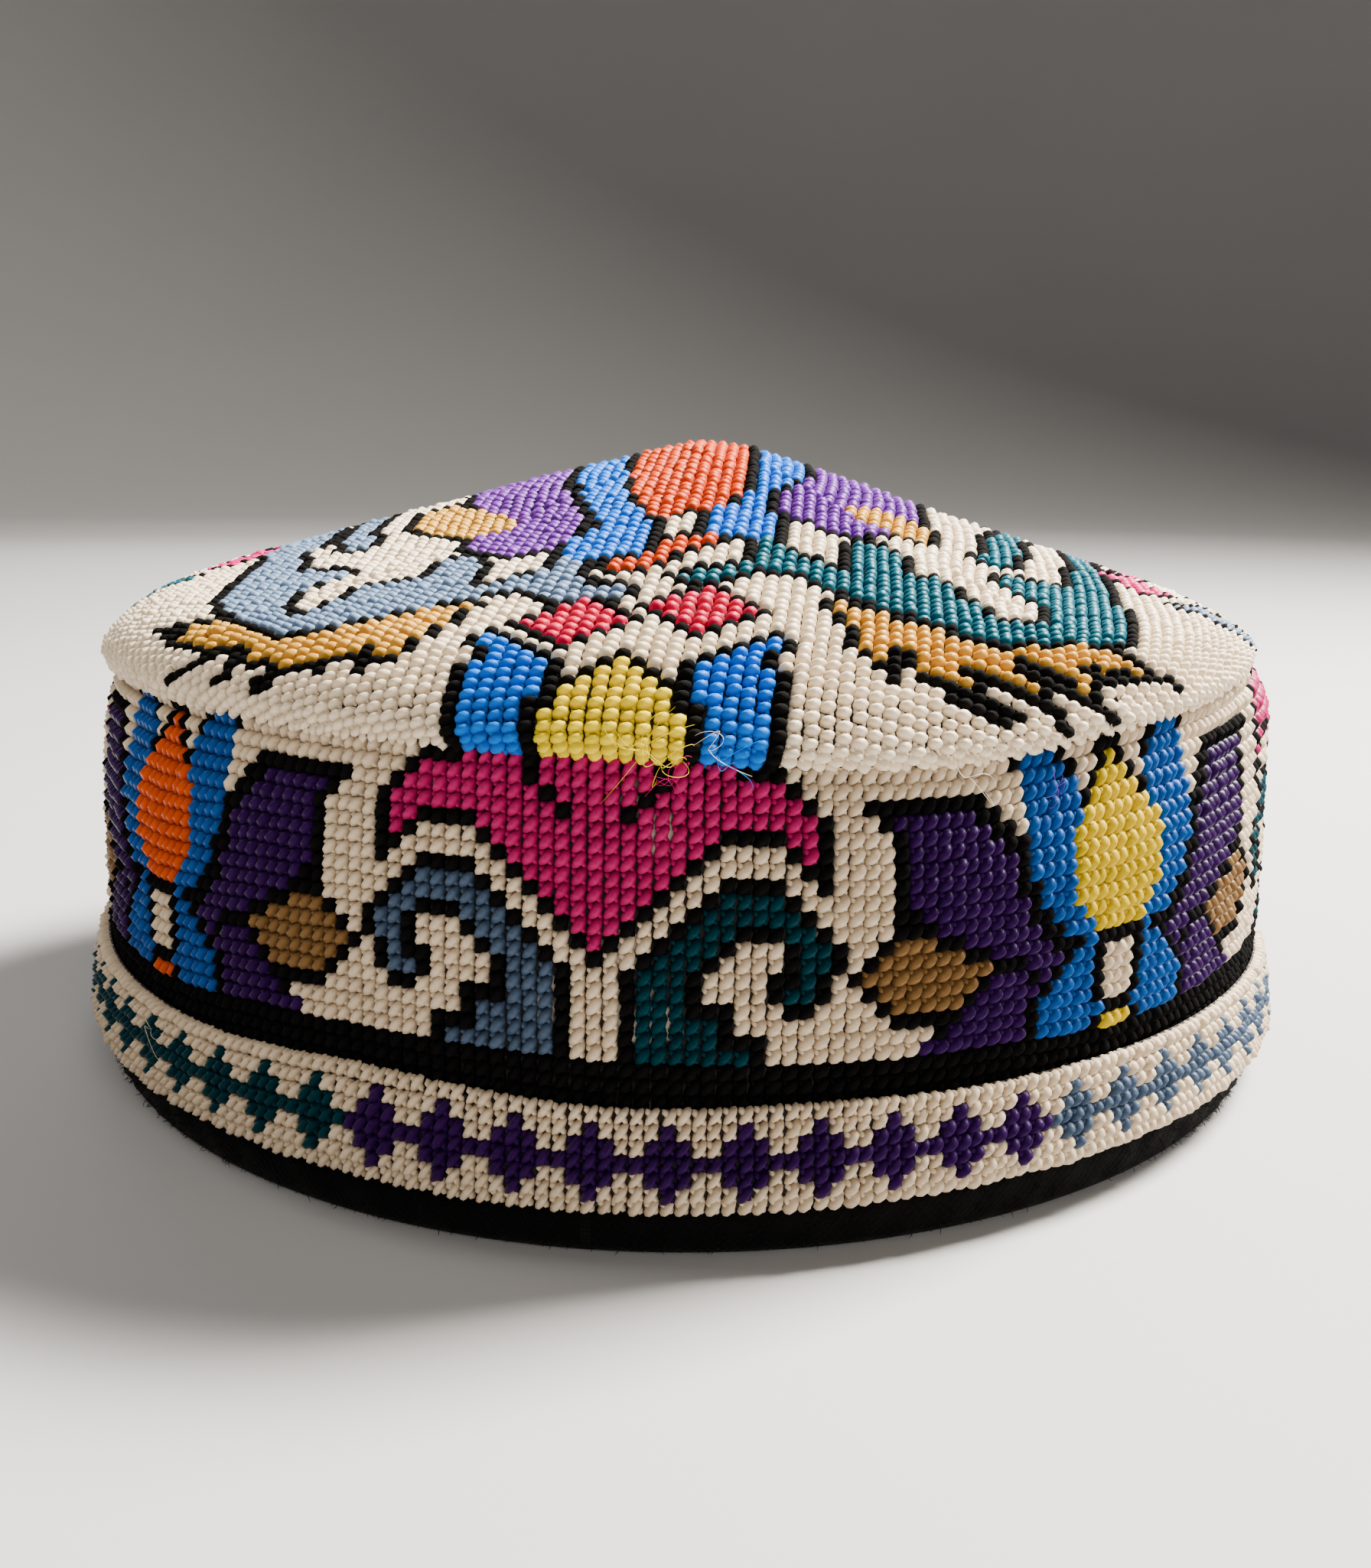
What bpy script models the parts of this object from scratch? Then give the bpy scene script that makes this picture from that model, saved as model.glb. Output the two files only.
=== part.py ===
"""Cross-stitched skullcap: crown, side band, trim band and rim binding.

Metres, +Z up. The origin is on the cap's axis, on the level that its rim rests
on, and the middle of the front motif faces -Y. Angles are measured from the
front towards +X. Sections are written in millimetres.
"""

import math
from typing import NamedTuple

import bmesh
import bpy
from mathutils import Vector

MM = 0.001
SEGMENTS = 84

# Plan shape, shared by every piece: a circle that swells a little at the four fold corners,
# and more so from the shoulder up, where the side band leans in between the corners.
LOWER_SWELL = 0.008
UPPER_SWELL = 0.021
SHOULDER_LOW = 44.0
SHOULDER_HIGH = 57.0

# The two side corners stand out further than the front and back ones below the shoulder,
# and are tucked in above it. The spread is in degrees.
SIDE_BULGE = 1.6
SIDE_TUCK = 1.2
SIDE_SPREAD = 12.0
TUCK_LOW = 52.0
TUCK_HIGH = 60.0

# Heights of the seams, from the resting level up.
CHANNEL_FLOOR = 1.5
BINDING_OUTER_TOP = 6.1
BINDING_INNER_TOP = 11.0
BAND_FOOT = 1.9
TRIM_BOTTOM = 6.5
TRIM_TOP = 18.6
CROWN_SEAM = 58.6
APEX = 92.2

# Radii and thicknesses.
TRIM_RADIUS = 92.0
TRIM_TOP_RADIUS = 90.6
TRIM_INNER_RADIUS = 89.05
BAND_FOOT_RADIUS = 88.0
BAND_LOWER_RADIUS = 88.7
BAND_INNER_RADIUS = 85.8
BINDING_RADIUS = 89.3
BINDING_FOLD = 1.0
CROWN_RADIUS = 87.6
CROWN_FOOT_RADIUS = 86.2
CROWN_THICKNESS = 2.3
SEWING_GAP = 0.3

# Crown folds: four soft creases run from the apex to the corners of the plan.
CROWN_TURN = math.radians(1.7)
CREASE_DROP = 2.0
CREASE_SOFTNESS = 0.15
APEX_LEAN = 2.4
RIM_SHIFT = 0.9
RIM_STILL_RADIUS = 86.0
RIM_FADE = 14.0
RIM_WAVE_TOP = 70.0


class Point(NamedTuple):
    """One point of a turned section, in millimetres."""

    radius: float
    height: float


class Dent(NamedTuple):
    """One shallow hollow (or swell, where the depth is negative) of the soft crown."""

    azimuth: float
    radius: float
    spread: float
    depth: float


class Wave(NamedTuple):
    """One stretch of the crown's seam that lies higher, or lower, than the rest."""

    azimuth: float
    spread: float
    lift: float


class Finish(NamedTuple):
    """Colour and surface of one material."""

    colour: tuple
    roughness: float


# Outer face of the crown along a crease, from the apex to the edge of its rim.
CROWN_PROFILE = (
    Point(0.0, APEX),
    Point(6.0, 91.5),
    Point(14.0, 89.5),
    Point(25.0, 86.5),
    Point(40.0, 81.8),
    Point(55.0, 77.4),
    Point(68.0, 73.4),
    Point(78.0, 69.8),
    Point(83.8, 66.0),
    Point(86.8, 62.6),
    Point(CROWN_RADIUS, 60.8),
    Point(87.2, 59.5),
)

# Outer face of the side band, from its foot inside the binding to the seam.
BAND_PROFILE = (
    Point(BAND_FOOT_RADIUS, BAND_FOOT),
    Point(BAND_FOOT_RADIUS, BINDING_OUTER_TOP),
    Point(BAND_LOWER_RADIUS, TRIM_BOTTOM),
    Point(BAND_LOWER_RADIUS, TRIM_TOP),
    Point(88.8, 24.0),
    Point(88.7, 36.0),
    Point(88.3, 45.0),
    Point(87.7, 50.0),
    Point(86.9, 53.5),
    Point(86.2, 56.0),
    Point(85.3, CROWN_SEAM),
)

# Inner face of the side band, from the seam down to its foot.
BAND_LINING = (
    Point(83.3, CROWN_SEAM),
    Point(84.2, 53.5),
    Point(85.2, 48.0),
    Point(BAND_INNER_RADIUS, 40.0),
    Point(BAND_INNER_RADIUS, BINDING_INNER_TOP),
    Point(BAND_INNER_RADIUS, BAND_FOOT),
)

# Soft dents of the crown, and the stretches where its seam waves up or down.
CROWN_DENTS = (
    Dent(azimuth=68.0, radius=62.0, spread=20.0, depth=1.3),
    Dent(azimuth=-40.0, radius=13.0, spread=9.0, depth=0.8),
    Dent(azimuth=40.0, radius=13.0, spread=9.0, depth=-0.8),
    Dent(azimuth=-38.0, radius=46.0, spread=24.0, depth=1.3),
    Dent(azimuth=28.0, radius=42.0, spread=22.0, depth=-1.2),
    Dent(azimuth=150.0, radius=50.0, spread=24.0, depth=1.2),
    Dent(azimuth=-125.0, radius=48.0, spread=26.0, depth=-0.8),
)

SEAM_WAVES = (
    Wave(azimuth=27.0, spread=13.0, lift=-2.2),
    Wave(azimuth=86.0, spread=15.0, lift=3.4),
    Wave(azimuth=-104.0, spread=16.0, lift=2.0),
    Wave(azimuth=152.0, spread=18.0, lift=-1.2),
)

STITCHED_CLOTH = Finish((0.72, 0.63, 0.50), 0.72)
PATTERNED_CLOTH = Finish((0.20, 0.12, 0.22), 0.74)
TRIM_CLOTH = Finish((0.62, 0.55, 0.47), 0.74)
BLACK_CLOTH = Finish((0.012, 0.011, 0.011), 0.92)


def clear_scene():
    """Remove every object that the scene starts with."""
    for item in list(bpy.data.objects):
        bpy.data.objects.remove(item, do_unlink=True)


def cloth_material(name, finish):
    """A Principled cloth of one finish."""
    material = bpy.data.materials.new(name)
    material.use_nodes = True
    shader = material.node_tree.nodes["Principled BSDF"]
    shader.inputs["Base Color"].default_value = (*finish.colour, 1.0)
    shader.inputs["Roughness"].default_value = finish.roughness
    shader.inputs["Metallic"].default_value = 0.0
    return material


def smooth_through(points, steps):
    """Catmull-Rom curve through the points, with so many steps between two of them."""
    path = []
    last = len(points) - 1
    for index in range(last):
        before = points[max(index - 1, 0)]
        start = points[index]
        end = points[index + 1]
        after = points[min(index + 2, last)]
        for step in range(steps):
            t = step / steps
            path.append(
                Point(*(catmull_rom(a, b, c, d, t) for a, b, c, d in zip(before, start, end, after)))
            )
    path.append(points[last])
    return path


def catmull_rom(before, start, end, after, t):
    """One coordinate of a Catmull-Rom stretch from start to end."""
    bend = 2 * before - 5 * start + 4 * end - after
    twist = 3 * start - before - 3 * end + after
    return start + 0.5 * t * (end - before + t * (bend + t * twist))


def inward(points, thickness):
    """The points moved by the thickness towards the inside of the cap, square to the profile."""
    moved = []
    last = len(points) - 1
    for index, point in enumerate(points):
        before = points[max(index - 1, 0)]
        after = points[min(index + 1, last)]
        run = after.radius - before.radius
        rise = after.height - before.height
        length = math.hypot(run, rise)
        radius = point.radius + thickness * rise / length
        moved.append(Point(max(radius, 0.0), point.height - thickness * run / length))
    return moved


def smooth_ramp(value, low, high):
    """From 0 at the low value to 1 at the high one, level at both ends."""
    t = min(max((value - low) / (high - low), 0.0), 1.0)
    return t * t * (3.0 - 2.0 * t)


def seam_lift(place):
    """How far the seam of the crown is lifted where it passes this place."""
    azimuth = math.degrees(math.atan2(place.x, -place.y))
    lift = 0.0
    for wave in SEAM_WAVES:
        apart = (azimuth - wave.azimuth + 180.0) % 360.0 - 180.0
        lift += wave.lift * math.exp(-0.5 * (apart / wave.spread) ** 2)
    return lift


def plan_place(point, angle):
    """Where a section's point stands once the section is turned to the angle, in millimetres."""
    rise = smooth_ramp(point.height, SHOULDER_LOW, SHOULDER_HIGH)
    swell = LOWER_SWELL + (UPPER_SWELL - LOWER_SWELL) * rise
    radius = point.radius * (1.0 + swell * math.cos(4.0 * angle))
    from_side = math.degrees(math.acos(min(abs(math.sin(angle)), 1.0)))
    bulge = SIDE_BULGE - (SIDE_BULGE + SIDE_TUCK) * smooth_ramp(point.height, TUCK_LOW, TUCK_HIGH)
    radius += bulge * math.exp(-0.5 * (from_side / SIDE_SPREAD) ** 2)
    return Vector((radius * math.sin(angle), -radius * math.cos(angle), point.height))


def wall_place(point, angle):
    """Where a point of an upright wall stands, stretched up to the waves of the crown's seam."""
    place = plan_place(point, angle)
    place.z += seam_lift(place) * max(point.height - TRIM_TOP, 0.0) / (CROWN_SEAM - TRIM_TOP)
    return place * MM


def crease_drop(radius, angle):
    """How far the crown falls between its creases, none at the apex and the rim."""
    if radius >= RIM_STILL_RADIUS:
        return 0.0
    across = math.sin(2.0 * (angle - CROWN_TURN))
    fold = math.hypot(across, CREASE_SOFTNESS) - CREASE_SOFTNESS
    return CREASE_DROP * math.sin(math.pi * radius / RIM_STILL_RADIUS) * fold


def dent_drop(radius, angle):
    """How far the crown's dents lower this place, fading out towards the rim."""
    total = 0.0
    for dent in CROWN_DENTS:
        turned = angle - math.radians(dent.azimuth)
        apart = radius**2 + dent.radius**2 - 2.0 * radius * dent.radius * math.cos(turned)
        total += dent.depth * math.exp(-apart / (2.0 * dent.spread**2))
    return total * smooth_ramp(RIM_STILL_RADIUS - radius, 0.0, RIM_FADE)


def crown_place(point, angle):
    """Where a point of the crown's section stands, with its creases, dents and lean."""
    drop = crease_drop(point.radius, angle) + dent_drop(point.radius, angle)
    place = plan_place(Point(point.radius, point.height - drop), angle)
    outward = min((point.radius / RIM_STILL_RADIUS) ** 2, 1.0)
    place.x += APEX_LEAN * (1.0 - outward) - RIM_SHIFT * outward
    place.z += seam_lift(place) * (1.0 - smooth_ramp(point.height, CROWN_SEAM, RIM_WAVE_TOP))
    return place * MM


def ring_of(mesh, point, place):
    """The vertices of one section point, a single one where it lies on the axis."""
    if point.radius < SEWING_GAP:
        return [mesh.verts.new(place(Point(0.0, point.height), 0.0))]
    turn = math.tau / SEGMENTS
    return [mesh.verts.new(place(point, step * turn)) for step in range(SEGMENTS)]


def bridge(mesh, first, second):
    """Faces between two neighbouring rings, a fan where one of them is a single point."""
    for step in range(SEGMENTS):
        following = (step + 1) % SEGMENTS
        corners = [
            first[step % len(first)],
            first[following % len(first)],
            second[following % len(second)],
            second[step % len(second)],
        ]
        mesh.faces.new(list(dict.fromkeys(corners)))


def turned_cloth(name, section, place, finish, ends_on_axis=False):
    """A closed cloth wall made by turning its section round the axis."""
    mesh = bmesh.new()
    rings = [ring_of(mesh, point, place) for point in section]
    for first, second in zip(rings, rings[1:]):
        bridge(mesh, first, second)
    if not ends_on_axis:
        bridge(mesh, rings[-1], rings[0])
    bmesh.ops.recalc_face_normals(mesh, faces=mesh.faces)
    data = bpy.data.meshes.new(name)
    mesh.to_mesh(data)
    mesh.free()
    data.shade_smooth()
    data.set_sharp_from_angle(angle=math.radians(50.0))
    data.materials.append(cloth_material(name + "_cloth", finish))
    piece = bpy.data.objects.new(name, data)
    bpy.context.scene.collection.objects.link(piece)
    return piece


def make_crown():
    """Low soft crown, open below, whose thick rim rests on the side band."""
    outer = smooth_through(CROWN_PROFILE, 2)
    lining = inward(CROWN_PROFILE[:-2], CROWN_THICKNESS)
    foot = CROWN_SEAM + SEWING_GAP
    rim = [Point(CROWN_FOOT_RADIUS, foot), Point(CROWN_FOOT_RADIUS - CROWN_THICKNESS, foot)]
    inner = [point for point in reversed(lining) if point.height > foot + SEWING_GAP]
    return turned_cloth("crown", outer + rim + inner, crown_place, STITCHED_CLOTH, ends_on_axis=True)


def make_side_band():
    """Upright band between the binding's channel and the crown's seam."""
    section = BAND_PROFILE + BAND_LINING
    return turned_cloth("side_band", section, wall_place, PATTERNED_CLOTH)


def make_trim_band():
    """Narrow band sewn round the foot of the side band, thickest at its lower edge."""
    edge = 0.8
    section = [
        Point(TRIM_INNER_RADIUS, TRIM_BOTTOM + edge),
        Point(TRIM_INNER_RADIUS + edge, TRIM_BOTTOM),
        Point(TRIM_RADIUS - edge, TRIM_BOTTOM),
        Point(TRIM_RADIUS, TRIM_BOTTOM + edge),
        Point(TRIM_RADIUS, TRIM_BOTTOM + 3.0 * edge),
        Point(TRIM_TOP_RADIUS, TRIM_TOP - edge),
        Point(TRIM_TOP_RADIUS - 0.6 * edge, TRIM_TOP),
        Point(TRIM_INNER_RADIUS + 0.3 * edge, TRIM_TOP),
        Point(TRIM_INNER_RADIUS, TRIM_TOP - edge),
    ]
    return turned_cloth("trim_band", section, wall_place, TRIM_CLOTH)


def make_rim_binding():
    """Folded strip round the lower edge of the side band, flat where it rests."""
    outer_face = BAND_FOOT_RADIUS + SEWING_GAP
    inner_face = BAND_INNER_RADIUS - SEWING_GAP
    roll = 1.7
    section = [
        Point(outer_face, BINDING_OUTER_TOP),
        Point(outer_face, CHANNEL_FLOOR),
        Point(inner_face, CHANNEL_FLOOR),
        Point(inner_face, BINDING_INNER_TOP),
        Point(inner_face - BINDING_FOLD, BINDING_INNER_TOP),
        Point(inner_face - BINDING_FOLD, roll),
        Point(inner_face - 0.7 * BINDING_FOLD, 0.4 * roll),
        Point(inner_face, 0.0),
        Point(BINDING_RADIUS - roll, 0.0),
        Point(BINDING_RADIUS - 0.45 * roll, 0.2 * roll),
        Point(BINDING_RADIUS - 0.1 * roll, 0.75 * roll),
        Point(BINDING_RADIUS, 1.8 * roll),
        Point(BINDING_RADIUS, BINDING_OUTER_TOP),
    ]
    return turned_cloth("rim_binding", section, wall_place, BLACK_CLOTH)


def main():
    """Build the four sewn pieces of the cap."""
    clear_scene()
    make_crown()
    make_side_band()
    make_trim_band()
    make_rim_binding()


main()
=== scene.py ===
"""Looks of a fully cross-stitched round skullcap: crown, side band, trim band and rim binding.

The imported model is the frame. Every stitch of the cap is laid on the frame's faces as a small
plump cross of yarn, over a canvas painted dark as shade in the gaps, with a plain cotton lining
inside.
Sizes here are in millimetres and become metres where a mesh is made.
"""

import logging
import math
from dataclasses import dataclass
from enum import Enum
from functools import partial
from typing import Callable, Iterable, Iterator, Sequence

import bpy
import numpy as np
from mathutils import Matrix, Vector


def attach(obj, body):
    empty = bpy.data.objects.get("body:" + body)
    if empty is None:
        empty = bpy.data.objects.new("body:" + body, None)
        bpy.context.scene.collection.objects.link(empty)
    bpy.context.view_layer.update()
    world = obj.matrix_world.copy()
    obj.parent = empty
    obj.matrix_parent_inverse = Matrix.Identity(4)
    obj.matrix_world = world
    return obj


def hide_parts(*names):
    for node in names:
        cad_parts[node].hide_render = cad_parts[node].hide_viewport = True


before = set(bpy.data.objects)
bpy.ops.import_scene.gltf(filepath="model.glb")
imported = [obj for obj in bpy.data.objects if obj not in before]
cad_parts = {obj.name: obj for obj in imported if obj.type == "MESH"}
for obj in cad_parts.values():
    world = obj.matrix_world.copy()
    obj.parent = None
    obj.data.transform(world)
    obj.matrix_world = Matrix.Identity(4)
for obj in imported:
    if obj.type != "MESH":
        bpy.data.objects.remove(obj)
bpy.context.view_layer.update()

log = logging.getLogger("skullcap")
MM = 0.001
SEED = 4117
SIDES = ("front", "right", "back", "left")
LEAST_RADIUS = 0.02
LAYOUT_RADIUS = 88.0

Array = np.ndarray
Surface = Callable[[Array, Array], Array]
Surface3 = Callable[[Array, Array, Array], Array]
Points = tuple[tuple[float, ...], ...]
Piece = bpy.types.Object
Socket = bpy.types.NodeSocket


@dataclass(frozen=True)
class Wave:
    """One stretch of an edge that lies higher or lower than the rest."""

    azimuth: float
    spread: float
    lift: float


def lift_at(waves: Iterable[Wave], azimuth: Array) -> Array:
    """How far some waves lift an edge at each turn from the front.

    Args:
        waves: The edge's waves.
        azimuth: Degrees from the front towards +X.

    Returns:
        The lift in millimetres.
    """
    lift = np.zeros_like(azimuth)
    for wave in waves:
        apart = (azimuth - wave.azimuth + 180.0) % 360.0 - 180.0
        lift += wave.lift * np.exp(-0.5 * (apart / wave.spread) ** 2)
    return lift


@dataclass(frozen=True)
class Ripple:
    """One run of soft puckers round a cloth: how deep, how many in a round, and their slant."""

    depth: float
    count: float
    slant: float

    def at(self, angle: Array, run: Array) -> Array:
        """How far it stands out at each turn and each way along the section."""
        return self.depth * np.sin(self.count * angle + self.slant * run)


@dataclass(frozen=True)
class Dent:
    """One shallow hollow of the soft crown, or a swell where the depth is negative."""

    azimuth: float
    radius: float
    spread: float
    depth: float


def ramp(value: Array, low: float, high: float) -> Array:
    """From 0 at the low value to 1 at the high one, level at both ends."""
    t = np.clip((value - low) / (high - low), 0.0, 1.0)
    return t * t * (3.0 - 2.0 * t)


def smooth_line(points: Sequence[tuple[float, float]], steps: int) -> Array:
    """Catmull-Rom line through the points of a section.

    Args:
        points: Radius and height of each point.
        steps: How many steps lie between two points.

    Returns:
        The line's points, two columns wide.
    """
    rows = np.asarray(points, dtype=float)
    padded = np.vstack([rows[:1], rows, rows[-1:]])
    t = (np.arange(steps) / steps)[:, None]
    line = []
    for before, start, end, after in zip(padded, padded[1:], padded[2:], padded[3:]):
        bend = 2.0 * before - 5.0 * start + 4.0 * end - after
        twist = 3.0 * start - before - 3.0 * end + after
        line.append(start + 0.5 * t * (end - before + t * (bend + t * twist)))
    return np.vstack([*line, rows[-1:]])


def along(line: Array) -> Array:
    """Distance of each point of a line from its start."""
    return np.concatenate([[0.0], np.cumsum(np.hypot(*np.diff(line, axis=0).T))])


def radius_at(section: Array, height: Array) -> Array:
    """Radius of an upright section at each height."""
    return np.interp(height, section[:, 1], section[:, 0])


@dataclass(frozen=True)
class CapForm:
    """The cap's true shape, as the frame holds it: one turned section, softened and folded.

    Sections hold radius and height. Angles start at the front and turn towards +X.
    """

    lower_swell: float = 0.008
    upper_swell: float = 0.021
    shoulder: tuple[float, float] = (44.0, 57.0)
    side_bulge: float = 1.6
    side_tuck: float = 1.2
    side_spread: float = 12.0
    calm_radius: float = 14.0
    tuck: tuple[float, float] = (52.0, 60.0)
    trim_top: float = 18.6
    seam: float = 58.6
    crown_turn: float = 1.7
    crease_drop: float = 2.0
    crease_softness: float = 0.15
    apex_lean: float = 2.4
    rim_shift: float = 0.9
    still_radius: float = 86.0
    rim_fade: float = 14.0
    wave_top: float = 70.0
    crown_section: Points = (
        (0.0, 92.2), (6.0, 91.5), (14.0, 89.5), (25.0, 86.5), (40.0, 81.8), (55.0, 77.4),
        (68.0, 73.4), (78.0, 69.8), (83.8, 66.0), (86.8, 62.6), (87.6, 60.8), (87.2, 59.5),
    )
    band_section: Points = (
        (88.0, 1.9), (88.0, 6.1), (88.7, 6.5), (88.7, 18.6), (88.8, 24.0), (88.7, 36.0),
        (88.3, 45.0), (87.7, 50.0), (86.9, 53.5), (86.2, 56.0), (85.3, 58.6),
    )
    dents: tuple[Dent, ...] = (
        Dent(68.0, 62.0, 20.0, 1.3),
        Dent(-40.0, 13.0, 9.0, 0.8),
        Dent(40.0, 13.0, 9.0, -0.8),
        Dent(-38.0, 46.0, 24.0, 1.3),
        Dent(28.0, 42.0, 22.0, -1.2),
        Dent(150.0, 50.0, 24.0, 1.2),
        Dent(-125.0, 48.0, 26.0, -0.8),
    )
    waves: tuple[Wave, ...] = (
        Wave(27.0, 13.0, -2.2),
        Wave(86.0, 15.0, 3.4),
        Wave(-104.0, 16.0, 2.0),
        Wave(152.0, 18.0, -1.2),
    )

    def plan(self, radius: Array, height: Array, angle: Array) -> tuple[Array, Array]:
        """Where a section's points stand in plan once they are turned to their angles.

        Args:
            radius: Radius in the section.
            height: Height in the section.
            angle: Turn from the front, in radians.

        Returns:
            The x and y of each point.
        """
        low, high = self.lower_swell, self.upper_swell
        swell = low + (high - low) * ramp(height, *self.shoulder)
        out = radius * (1.0 + swell * np.cos(4.0 * angle))
        from_side = np.degrees(np.arccos(np.clip(np.abs(np.sin(angle)), 0.0, 1.0)))
        bulge = self.side_bulge - (self.side_bulge + self.side_tuck) * ramp(height, *self.tuck)
        bulge = bulge * np.minimum(radius / self.calm_radius, 1.0)
        out = out + bulge * np.exp(-0.5 * (from_side / self.side_spread) ** 2)
        return out * np.sin(angle), -out * np.cos(angle)

    def seam_lift(self, x: Array, y: Array) -> Array:
        """How far the crown's seam is lifted where it passes a place in plan."""
        return lift_at(self.waves, np.degrees(np.arctan2(x, -y)))

    def wall(self, radius: Array, height: Array, angle: Array) -> Array:
        """Places of an upright wall's points, stretched up to the seam's waves.

        Args:
            radius: Radius in the section.
            height: Height in the section.
            angle: Turn from the front, in radians.

        Returns:
            One place for each point, in millimetres.
        """
        x, y = self.plan(radius, height, angle)
        share = np.maximum(height - self.trim_top, 0.0) / (self.seam - self.trim_top)
        return np.stack([x, y, height + self.seam_lift(x, y) * share], axis=-1)

    def crown_drop(self, radius: Array, angle: Array) -> Array:
        """How far the crown's creases and dents lower each place below its section.

        Args:
            radius: Radius in the section.
            angle: Turn from the front, in radians.

        Returns:
            The drop of each place in millimetres.
        """
        across = np.sin(2.0 * (angle - math.radians(self.crown_turn)))
        fold = np.hypot(across, self.crease_softness) - self.crease_softness
        inside = np.minimum(radius / self.still_radius, 1.0)
        drop = self.crease_drop * np.sin(math.pi * inside) * fold
        dented = np.zeros_like(drop)
        for dent in self.dents:
            turned = np.cos(angle - math.radians(dent.azimuth))
            apart = radius**2 + dent.radius**2 - 2.0 * radius * dent.radius * turned
            dented += dent.depth * np.exp(-apart / (2.0 * dent.spread**2))
        return drop + dented * ramp(self.still_radius - radius, 0.0, self.rim_fade)

    def crown(self, radius: Array, height: Array, angle: Array) -> Array:
        """Places of the crown's points, with its creases, dents, lean and seam waves.

        Args:
            radius: Radius in the section.
            height: Height in the section.
            angle: Turn from the front, in radians.

        Returns:
            One place for each point, in millimetres.
        """
        lowered = height - self.crown_drop(radius, angle)
        x, y = self.plan(radius, lowered, angle)
        outward = np.minimum((radius / self.still_radius) ** 2, 1.0)
        x = x + self.apex_lean * (1.0 - outward) - self.rim_shift * outward
        waved = self.seam_lift(x, y) * (1.0 - ramp(height, self.seam, self.wave_top))
        return np.stack([x, y, lowered + waved], axis=-1)


class Yarn(Enum):
    """The yarns of the embroidery, in the order of their material slots."""

    CREAM = 0
    BLACK = 1
    PINK = 2
    ROSE = 3
    BLUE = 4
    YELLOW = 5
    ORANGE = 6
    PURPLE = 7
    TAN = 8
    STEEL = 9
    TEAL = 10


def linear(colour: Sequence[float]) -> tuple[float, float, float, float]:
    """A screen colour in the linear values that shaders take.

    Args:
        colour: Red, green and blue from 0 to 255.

    Returns:
        The linear colour, with full cover.
    """
    shares = [value / 255.0 for value in colour]
    turned = [s / 12.92 if s <= 0.04045 else ((s + 0.055) / 1.055) ** 2.4 for s in shares]
    return (*turned, 1.0)


class Sketch:
    """A material's node tree, with short calls to add nodes and join them."""

    def __init__(self, name: str) -> None:
        """Start an empty material.

        Args:
            name: What the material is called.
        """
        self.material = bpy.data.materials.new(name)
        self.material.use_nodes = True
        self.tree = self.material.node_tree
        self.shader = self.tree.nodes["Principled BSDF"]

    def add(self, kind: str, **settings: object) -> bpy.types.Node:
        """Add a node and set its options.

        Args:
            kind: The node's type name, without ShaderNode in front.
            **settings: Properties of the node itself.

        Returns:
            The new node.
        """
        node = self.tree.nodes.new("ShaderNode" + kind)
        for key, value in settings.items():
            setattr(node, key, value)
        return node

    def feed(self, node: bpy.types.Node, **values: object) -> bpy.types.Node:
        """Fill a node's sockets, with a number or with another node's output.

        Args:
            node: The node to fill.
            **values: Socket names, with _ for a blank, and what goes in each.

        Returns:
            The same node.
        """
        for key, value in values.items():
            name = key.replace("_", " ").strip()
            socket = node.inputs[int(name[1:])] if name[1:].isdigit() else node.inputs[name]
            if isinstance(value, Socket):
                self.tree.links.new(value, socket)
            else:
                socket.default_value = value
        return node

    def maths(self, operation: str, *values: object) -> Socket:
        """The socket with the result of one Math operation on numbers or sockets."""
        node = self.add("Math", operation=operation)
        return self.feed(node, **{f"i{k}": value for k, value in enumerate(values)}).outputs[0]

    def thread(self) -> tuple[Socket, Socket]:
        """The way along and across a thread, from the mesh's thread layout.

        Returns:
            The two sockets.
        """
        split = self.add("SeparateXYZ")
        self.feed(split, Vector=self.add("UVMap", uv_map="Thread").outputs[0])
        return split.outputs[0], split.outputs[1]

    def noise(self, where: Socket, scale: float, detail: float = 3.0) -> Socket:
        """The socket of a soft noise from 0 to 1, with so many waves in a unit and finer layers."""
        node = self.feed(self.add("TexNoise"), Vector=where, Scale=scale, Detail=detail)
        return node.outputs["Fac"]

    def blend(self, share: object, dark: object, light: object) -> Socket:
        """The socket of a colour between two others: dark where the share is 0, light at 1."""
        node = self.add("Mix", data_type="RGBA")
        return self.feed(node, i0=share, i6=dark, i7=light).outputs[2]

    def bump(self, height: Socket, depth: float, strength: float) -> None:
        """Raise the shader's surface by a height, where 1 is as high as the depth in metres."""
        node = self.feed(self.add("Bump"), Height=height, Distance=depth, Strength=strength)
        self.feed(self.shader, Normal=node.outputs["Normal"])


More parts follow.
